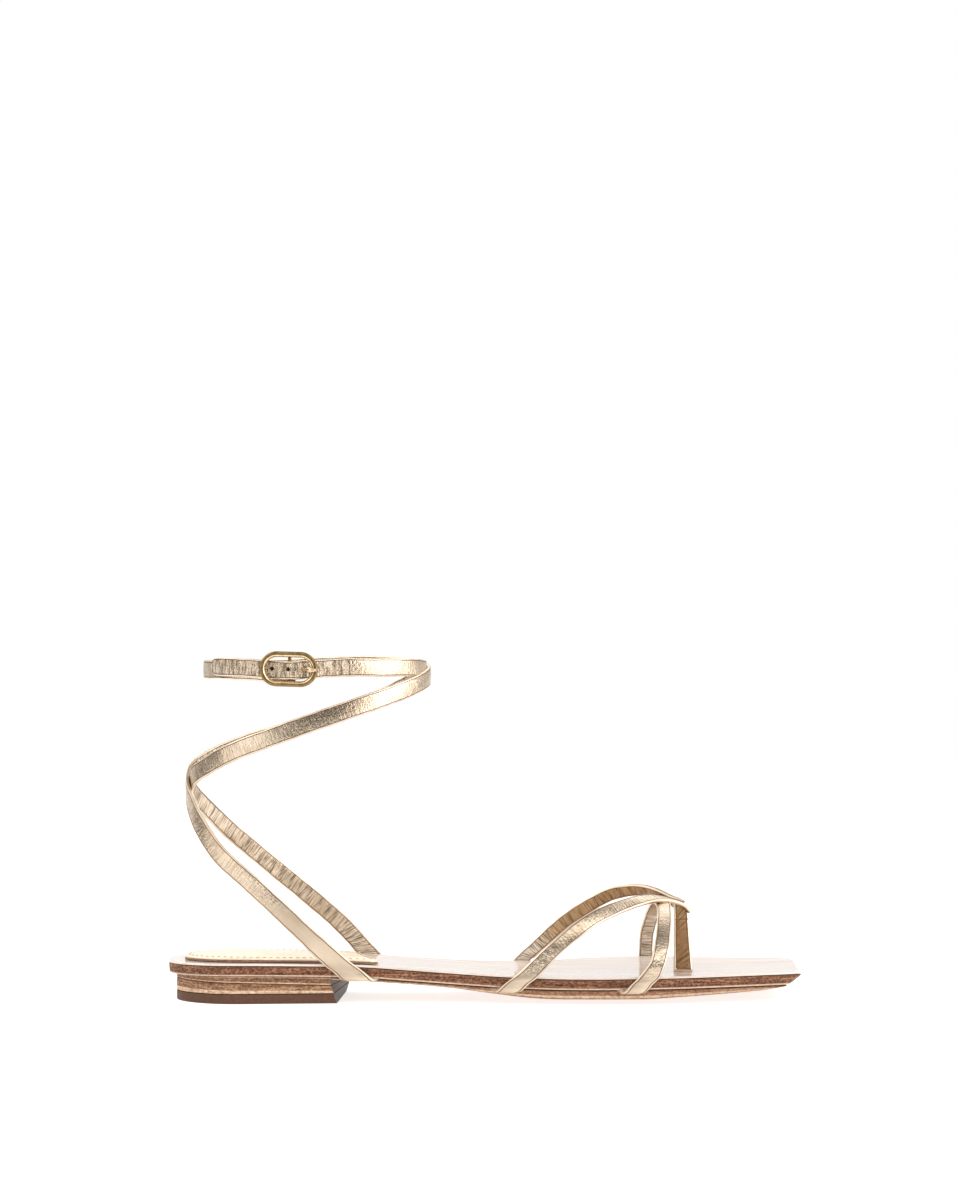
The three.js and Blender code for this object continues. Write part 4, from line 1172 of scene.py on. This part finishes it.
def build_post():
    """Toe post: wrapped leather with a seam down each side and a hem at its foot."""
    x = sole_x(TOE_POST_PLACE)
    foot = float(board_top(x, 0)) + FIT_GAP
    seen_foot = float(bed_height(x, 0))
    head = TOE_POST_HEAD * VAMP_HEIGHT
    half = TOE_POST_WIDTH / 2
    thick = STRAP_THICKNESS / 2
    heights = np.linspace(foot, head, POST_ROWS)
    face = np.linspace(-half + POST_EDGE, half - POST_EDGE, POST_COLUMNS)
    corner = [(half - 0.1, thick - 0.3), (half, 0.0), (half - 0.1, -(thick - 0.3))]
    ring = [(u, thick) for u in face] + corner
    ring += [(-u, -thick) for u in face] + [(-u, -t) for u, t in corner]
    ring = np.array(ring)
    u = np.repeat(ring[None, :, 0], len(heights), axis=0)
    t = np.repeat(ring[None, :, 1], len(heights), axis=0)
    z = np.repeat(heights[:, None], len(ring), axis=1)
    from_edge = np.minimum(half - np.abs(u), z - seen_foot - 0.2)
    seam = -0.26 * hump(from_edge, POST_SEAM_INSET, 0.16)
    welt = 0.14 * hump(from_edge, POST_WELT_INSET, 0.25)
    fold = 0.25 * hump(head - z, POST_FOLD_PLACE, 0.6)
    fold -= 0.2 * hump(head - z, POST_FOLD_PLACE + 1.0, 0.3)
    swell = (seam + welt + fold + 0.12 * np.cos(u / half * 1.5)) * (np.abs(t) > thick - 0.35)
    wave = 0.1 * np.sin((z - foot) * 0.35)
    narrow = (TOE_POST_WIDTH - TOE_POST_TOP_WIDTH) * (z - foot) / (head - foot)
    px = x + u * (1 - narrow / TOE_POST_WIDTH) - narrow / 2 + wave * 0.4
    points = np.stack([px, -(t + np.sign(t) * swell), z], axis=-1)
    border = from_edge[1:]
    # The seams take the groove's painted shade.
    in_seam = np.abs(border - POST_SEAM_INSET) < 0.2
    # The hem takes the paler fold colour, a painted highlight.
    marks = np.where(in_seam, GROOVE, np.where(border < POST_HEM, FOLD, FACE))
    diagonal = np.stack([0.8 * z - 0.6 * u, 0.6 * z + 0.8 * u, t], axis=-1)
    slots = [post_face, fold_highlight_face, groove_shade_face]
    piece = close_sweep("toe_post_cover", points, marks, slots, diagonal)
    return piece


# Buckle

def buckle_axes():
    """Origin and axes of the buckle: along the strap, up, and away from the leg."""
    point, out, _ = oval_row(BUCKLE_ANGLE, 0)
    forward = -np.cross(out, UP)
    tilt = math.radians(BUCKLE_TILT)
    along = math.cos(tilt) * forward + math.sin(tilt) * UP
    high = -math.sin(tilt) * forward + math.cos(tilt) * UP
    return point + UP * BUCKLE_RISE, along, high, out


def to_shoe(local):
    point, along, high, out = buckle_axes()
    return point + local[..., :1] * along + local[..., 1:2] * high + local[..., 2:] * out


def stadium_loop(grow):
    """Centre line of the ring grown outward, and its outline points."""
    radius = BUCKLE_HEIGHT / 2 - BUCKLE_WIRE / 2 + grow
    straight = BUCKLE_LENGTH / 2 - BUCKLE_HEIGHT / 2
    arc = np.linspace(-math.pi / 2, math.pi / 2, 40)
    right = np.stack([straight + radius * np.cos(arc), radius * np.sin(arc)], axis=1)
    return np.concatenate([right, -right])


def build_ring():
    """Buckle ring with a flat face, an inner bevel in brass painted brighter as a highlight, and a
    rounded outer rim.
    """
    half = BUCKLE_WIRE / 2
    thick = BUCKLE_THICKNESS / 2

    # Way out from the wire's middle, height, and the material of the side that follows
    section = [
        (half, 0.0, 0), (half - 0.06, 0.45, 0), (half - 0.3, 0.8, 0), (half - 0.55, thick, 0),
        (-0.1, thick, 0), (-0.32, thick - 0.03, 1), (-0.62, thick - 0.2, 1),
        (-half + 0.12, 0.1, 1), (-half, -0.15, 0), (-half + 0.1, -0.6, 0),
        (-half + 0.4, -thick, 0), (half - 0.4, -thick, 0), (half - 0.1, -0.55, 0),
    ]
    loops = []
    for grow, height, _ in section:
        outline = stadium_loop(grow)
        level = np.full((len(outline), 1), BUCKLE_OFFSET + height)
        loops.append(np.concatenate([outline, level], axis=1))
    points = to_shoe(np.stack(loops, axis=1))
    rows, columns = points.shape[:2]
    i, j = np.meshgrid(np.arange(rows), np.arange(columns), indexing="ij")
    ahead = (i + 1) % rows
    beside = (j + 1) % columns
    faces = np.stack(
        [i * columns + j, i * columns + beside, ahead * columns + beside, ahead * columns + j], -1
    ).reshape(-1, 4)
    marks = np.repeat(np.array([row[2] for row in section])[None, :], rows, axis=0).reshape(-1)
    piece = make_mesh(
        "buckle_ring", points.reshape(-1, 3), faces, marks, [brass_face, brass_highlight], merge=False)
    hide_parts("buckle_frame")
    return piece


def tube(name, path, radii, flatten, sides, slots):
    """Round wire through local points of the buckle, thinner along its height by flatten."""
    places = np.linspace(0, len(path) - 1, 48)
    centre = smooth_curve(np.array(path, float), places)
    size = np.interp(places, np.linspace(0, len(path) - 1, len(radii)), radii)
    is_level = abs(unit(centre[1] - centre[0])[2]) < 0.9
    ring = wire_rings(centre, size, sides, UP if is_level else np.array([1.0, 0.0, 0.0]), flatten)
    return close_sweep(name, to_shoe(ring), np.zeros(sides, int), slots, ring)


def build_bar():
    """Bar of the buckle with the two legs that hold it behind the ring."""
    reach = BUCKLE_HEIGHT / 2 - BUCKLE_WIRE / 2
    path = [
        (0, -reach, BUCKLE_OFFSET - 0.4), (0, -reach, BAR_LIFT + 0.5), (0, -reach + 0.5, BAR_LIFT),
        (0, -reach + 1.6, BAR_LIFT), (0, reach - 1.6, BAR_LIFT), (0, reach - 0.5, BAR_LIFT),
        (0, reach, BAR_LIFT + 0.5), (0, reach, BUCKLE_OFFSET - 0.4),
    ]
    piece = tube("buckle_bar", path, [BAR_RADIUS, BAR_RADIUS], 1.0, 14, [brass_face, brass_face])
    return piece


def build_prong():
    """Prong from the bar, through its hole, to the ring's face."""
    on_ring = BUCKLE_OFFSET + BUCKLE_THICKNESS / 2 + FIT_GAP + PRONG_RADIUS
    ring_place = BUCKLE_LENGTH / 2 - BUCKLE_WIRE / 2
    path = [
        (0.095 * ring_place, 0, BAR_LIFT), (0.3 * ring_place, 0, 0.87 * BAR_LIFT),
        (0.46 * ring_place, 0, 1.05 * BAR_LIFT), (0.72 * ring_place, 0, 0.8 * on_ring),
        (0.88 * ring_place, 0, on_ring), (1.087 * ring_place, 0, 0.99 * on_ring),
    ]
    radii = [0.55, 0.6, 0.68, 0.88, 1.0, 0.95, 0.5]
    # The prong takes the brighter brass, a painted highlight.
    piece = tube("buckle_pin", path, radii, 0.75, 16, [brass_highlight, brass_highlight])
    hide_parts("buckle_prong")
    return piece


def punch_holes(piece):
    """Cuts the row of round holes through the tail of the strap, and colours their walls with the
    groove's painted shade.
    """
    first = PRONG_HOLE_SHARE * BUCKLE_LENGTH / 2
    points, faces = [], []
    sides = 20
    turn = np.linspace(0, 2 * math.pi, sides, endpoint=False)
    for index in range(HOLE_COUNT):
        centre = first + (index - PRONG_HOLE) * HOLE_SPACING
        size = HOLE_RADIUS * (PRONG_HOLE_GROWTH if index == PRONG_HOLE else 1.0)
        for depth in (HOLE_CUT_START, HOLE_CUT_START + HOLE_CUT_DEPTH):
            circle = [centre + size * np.cos(turn), size * np.sin(turn), np.full(sides, depth)]
            points.append(to_shoe(np.stack(circle, axis=1)))
        faces += tube_faces(2, sides, index * 2 * sides)
    marks = np.zeros(len(faces))
    cutter = make_mesh(
        "hole_cutter", np.concatenate(points), faces, marks, [groove_shade_face], merge=False)
    modifier = piece.modifiers.new("holes", "BOOLEAN")
    modifier.operation = "DIFFERENCE"
    modifier.solver = "EXACT"
    modifier.material_mode = "TRANSFER"
    modifier.object = cutter
    bpy.context.view_layer.update()
    cut = piece.evaluated_get(bpy.context.evaluated_depsgraph_get())
    shaped = bpy.data.meshes.new_from_object(cut)
    piece.modifiers.clear()
    piece.data = shaped
    bpy.data.objects.remove(cutter)


def build_straps():
    ankle = [outer_face, fold_highlight_face, groove_shade_face, ankle_lining, tail_face]
    vamp = [outer_face, fold_highlight_face, groove_shade_face, shaded_vamp_lining]
    outer = build_strap(
        "ankle_strap_outer", outer_wrap_rows, ANKLE_STRAP_WIDTH, ankle,
        narrow_end=TAIL_NARROWING, tail_length=TAIL_LENGTH,
    )
    punch_holes(outer)
    inner = build_strap("ankle_strap_inner", inner_wrap_rows, ANKLE_STRAP_WIDTH, ankle)
    outer_vamp = build_strap("vamp_strap_outer", outer_vamp_rows, VAMP_STRAP_WIDTH, vamp)
    inner_vamp = build_strap("vamp_strap_inner", inner_vamp_rows, VAMP_STRAP_WIDTH, vamp)
    band = build_strap("cross_band", cross_rows, VAMP_STRAP_WIDTH, vamp)
    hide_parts("ankle_straps")
    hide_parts("vamp_straps")
    straps = [outer, inner, outer_vamp, inner_vamp, band]
    return straps


# Stage

# Edges of the floor in metres: left, right, front and rear, its own glow and its two greys
FLOOR_EDGES = (-0.5, 0.8, -0.6, 2.0)
FLOOR_GLOW = 0.72
FLOOR_TONES = (0.5, 0.52)


def build_stage():
    """Pale floor under the shoe."""
    left, right, front, rear = FLOOR_EDGES
    corners = [(left, front, 0), (right, front, 0), (right, rear, 0), (left, rear, 0)]
    mesh = bpy.data.meshes.new("floor")
    mesh.from_pydata(corners, [], [(0, 1, 2, 3)])
    floor = bpy.data.objects.new("floor", mesh)
    bpy.context.scene.collection.objects.link(floor)
    paper = Shader("floor_paper", 0.9, Emission_Color=(1, 1, 1, 1), Emission_Strength=FLOOR_GLOW)
    cloud = paper.noise(paper.place((0.002, 0.002, 0.002)), 1.0)
    tone = paper.ramp(cloud, [(0.3, FLOOR_TONES[0]), (0.7, FLOOR_TONES[1])])
    mesh.materials.append(paper.connect(Base_Color=tone))


# Studio seen from the shoe: azimuth from the camera's side towards the toe, and brightness.
STUDIO = [
    (-180, 1.0), (-112, 0.9), (-102, 0.2), (-80, 0.16), (-72, 1.9), (-38, 1.6), (-28, 0.13),
    (36, 0.13), (48, 4.5), (82, 4.5), (93, 0.8), (180, 0.9),
]

# The same overhead: the upward part of a direction, and brightness. It takes over from the
# first list between the two heights.
STUDIO_HEIGHTS = [(0.0, 0.0), (0.3, 0.0), (0.52, 2.4), (0.72, 2.4), (0.86, 0.45), (1.0, 0.45)]
OVERHEAD_START = 0.3
OVERHEAD_END = 0.52


def build_world():
    """Studio of soft boxes and dark cards, as brightness by direction."""
    world = bpy.data.worlds.new("studio")
    bpy.context.scene.world = world
    world.use_nodes = True
    tree = world.node_tree

    def calculate(operation, a, b):
        return add_node(tree, "ShaderNodeMath", {0: a, 1: b}, operation=operation).outputs[0]

    def blend(share, a, b):
        inputs = {0: share, 2: a, 3: b}
        return add_node(tree, "ShaderNodeMix", inputs, data_type="FLOAT").outputs[0]

    def brightness(value, stops):
        """Brightness by a value, through (value, brightness) stops."""
        peak = max(level for _, level in stops)
        share = add_ramp(tree, value, [(place, level / peak) for place, level in stops])
        return calculate("MULTIPLY", share, peak)

    way = add_node(tree, "ShaderNodeTexCoord").outputs["Generated"]
    parts = add_node(tree, "ShaderNodeSeparateXYZ", {"Vector": way}).outputs
    turn = calculate("ARCTAN2", parts["X"], calculate("MULTIPLY", parts["Y"], -1.0))
    share = calculate("ADD", calculate("MULTIPLY", turn, 1 / (2 * math.pi)), 0.5)
    around = brightness(share, [(angle / 360 + 0.5, level) for angle, level in STUDIO])
    above = brightness(parts["Z"], STUDIO_HEIGHTS)
    heights = {"Value": parts["Z"], 1: OVERHEAD_START, 2: OVERHEAD_END}
    high = add_node(tree, "ShaderNodeMapRange", heights).outputs[0]
    seen = add_node(tree, "ShaderNodeLightPath").outputs["Is Camera Ray"]
    back = tree.nodes["Background"].inputs
    tree.links.new(blend(seen, blend(high, around, above), 1.0), back["Strength"])
    back["Color"].default_value = (1, 1, 1, 1)


def build_light():
    """One large soft box over the shoe, for a gentle shadow under the sole."""
    lamp = bpy.data.lights.new("overhead", "AREA")
    lamp.shape = "RECTANGLE"
    lamp.size = 1.6
    lamp.size_y = 1.2
    lamp.energy = 7.0
    holder = bpy.data.objects.new("overhead", lamp)
    holder.visible_glossy = False
    holder.location = (0.0, -0.2, 1.4)
    holder.rotation_euler = (math.radians(-8), 0, 0)
    bpy.context.scene.collection.objects.link(holder)


# The photograph's camera: level, turned towards the heel.
CAMERA_TURN = -4.0
CAMERA_DISTANCE = 1430.0
CAMERA_HEIGHT = 161.5
CAMERA_SHIFT = -1.9
CAMERA_LENS = 105.09


def build_camera():
    turn = math.radians(CAMERA_TURN)
    data = bpy.data.cameras.new("camera")
    data.lens = CAMERA_LENS
    data.sensor_width = 36.0
    data.sensor_fit = "AUTO"
    data.clip_start = 0.05
    data.clip_end = 50.0
    camera = bpy.data.objects.new("camera", data)
    right = Vector((math.cos(turn), math.sin(turn), 0))
    ahead = Vector((-math.sin(turn), math.cos(turn), 0))
    eye = right * CAMERA_SHIFT - ahead * CAMERA_DISTANCE + Vector((-MIDDLE, 0, CAMERA_HEIGHT))
    camera.location = eye * MM
    camera.rotation_euler = (math.pi / 2, 0, turn)
    bpy.context.scene.collection.objects.link(camera)
    bpy.context.scene.camera = camera


built = [build_insole(), build_board(), build_outsole(), *build_heel(), *build_pad()]
built += [*build_straps(), build_post(), build_ring(), build_bar(), build_prong()]
for piece in built:
    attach(piece, "root")

build_stage()
build_world()
build_light()
build_camera()
bpy.context.scene.view_settings.view_transform = "Standard"
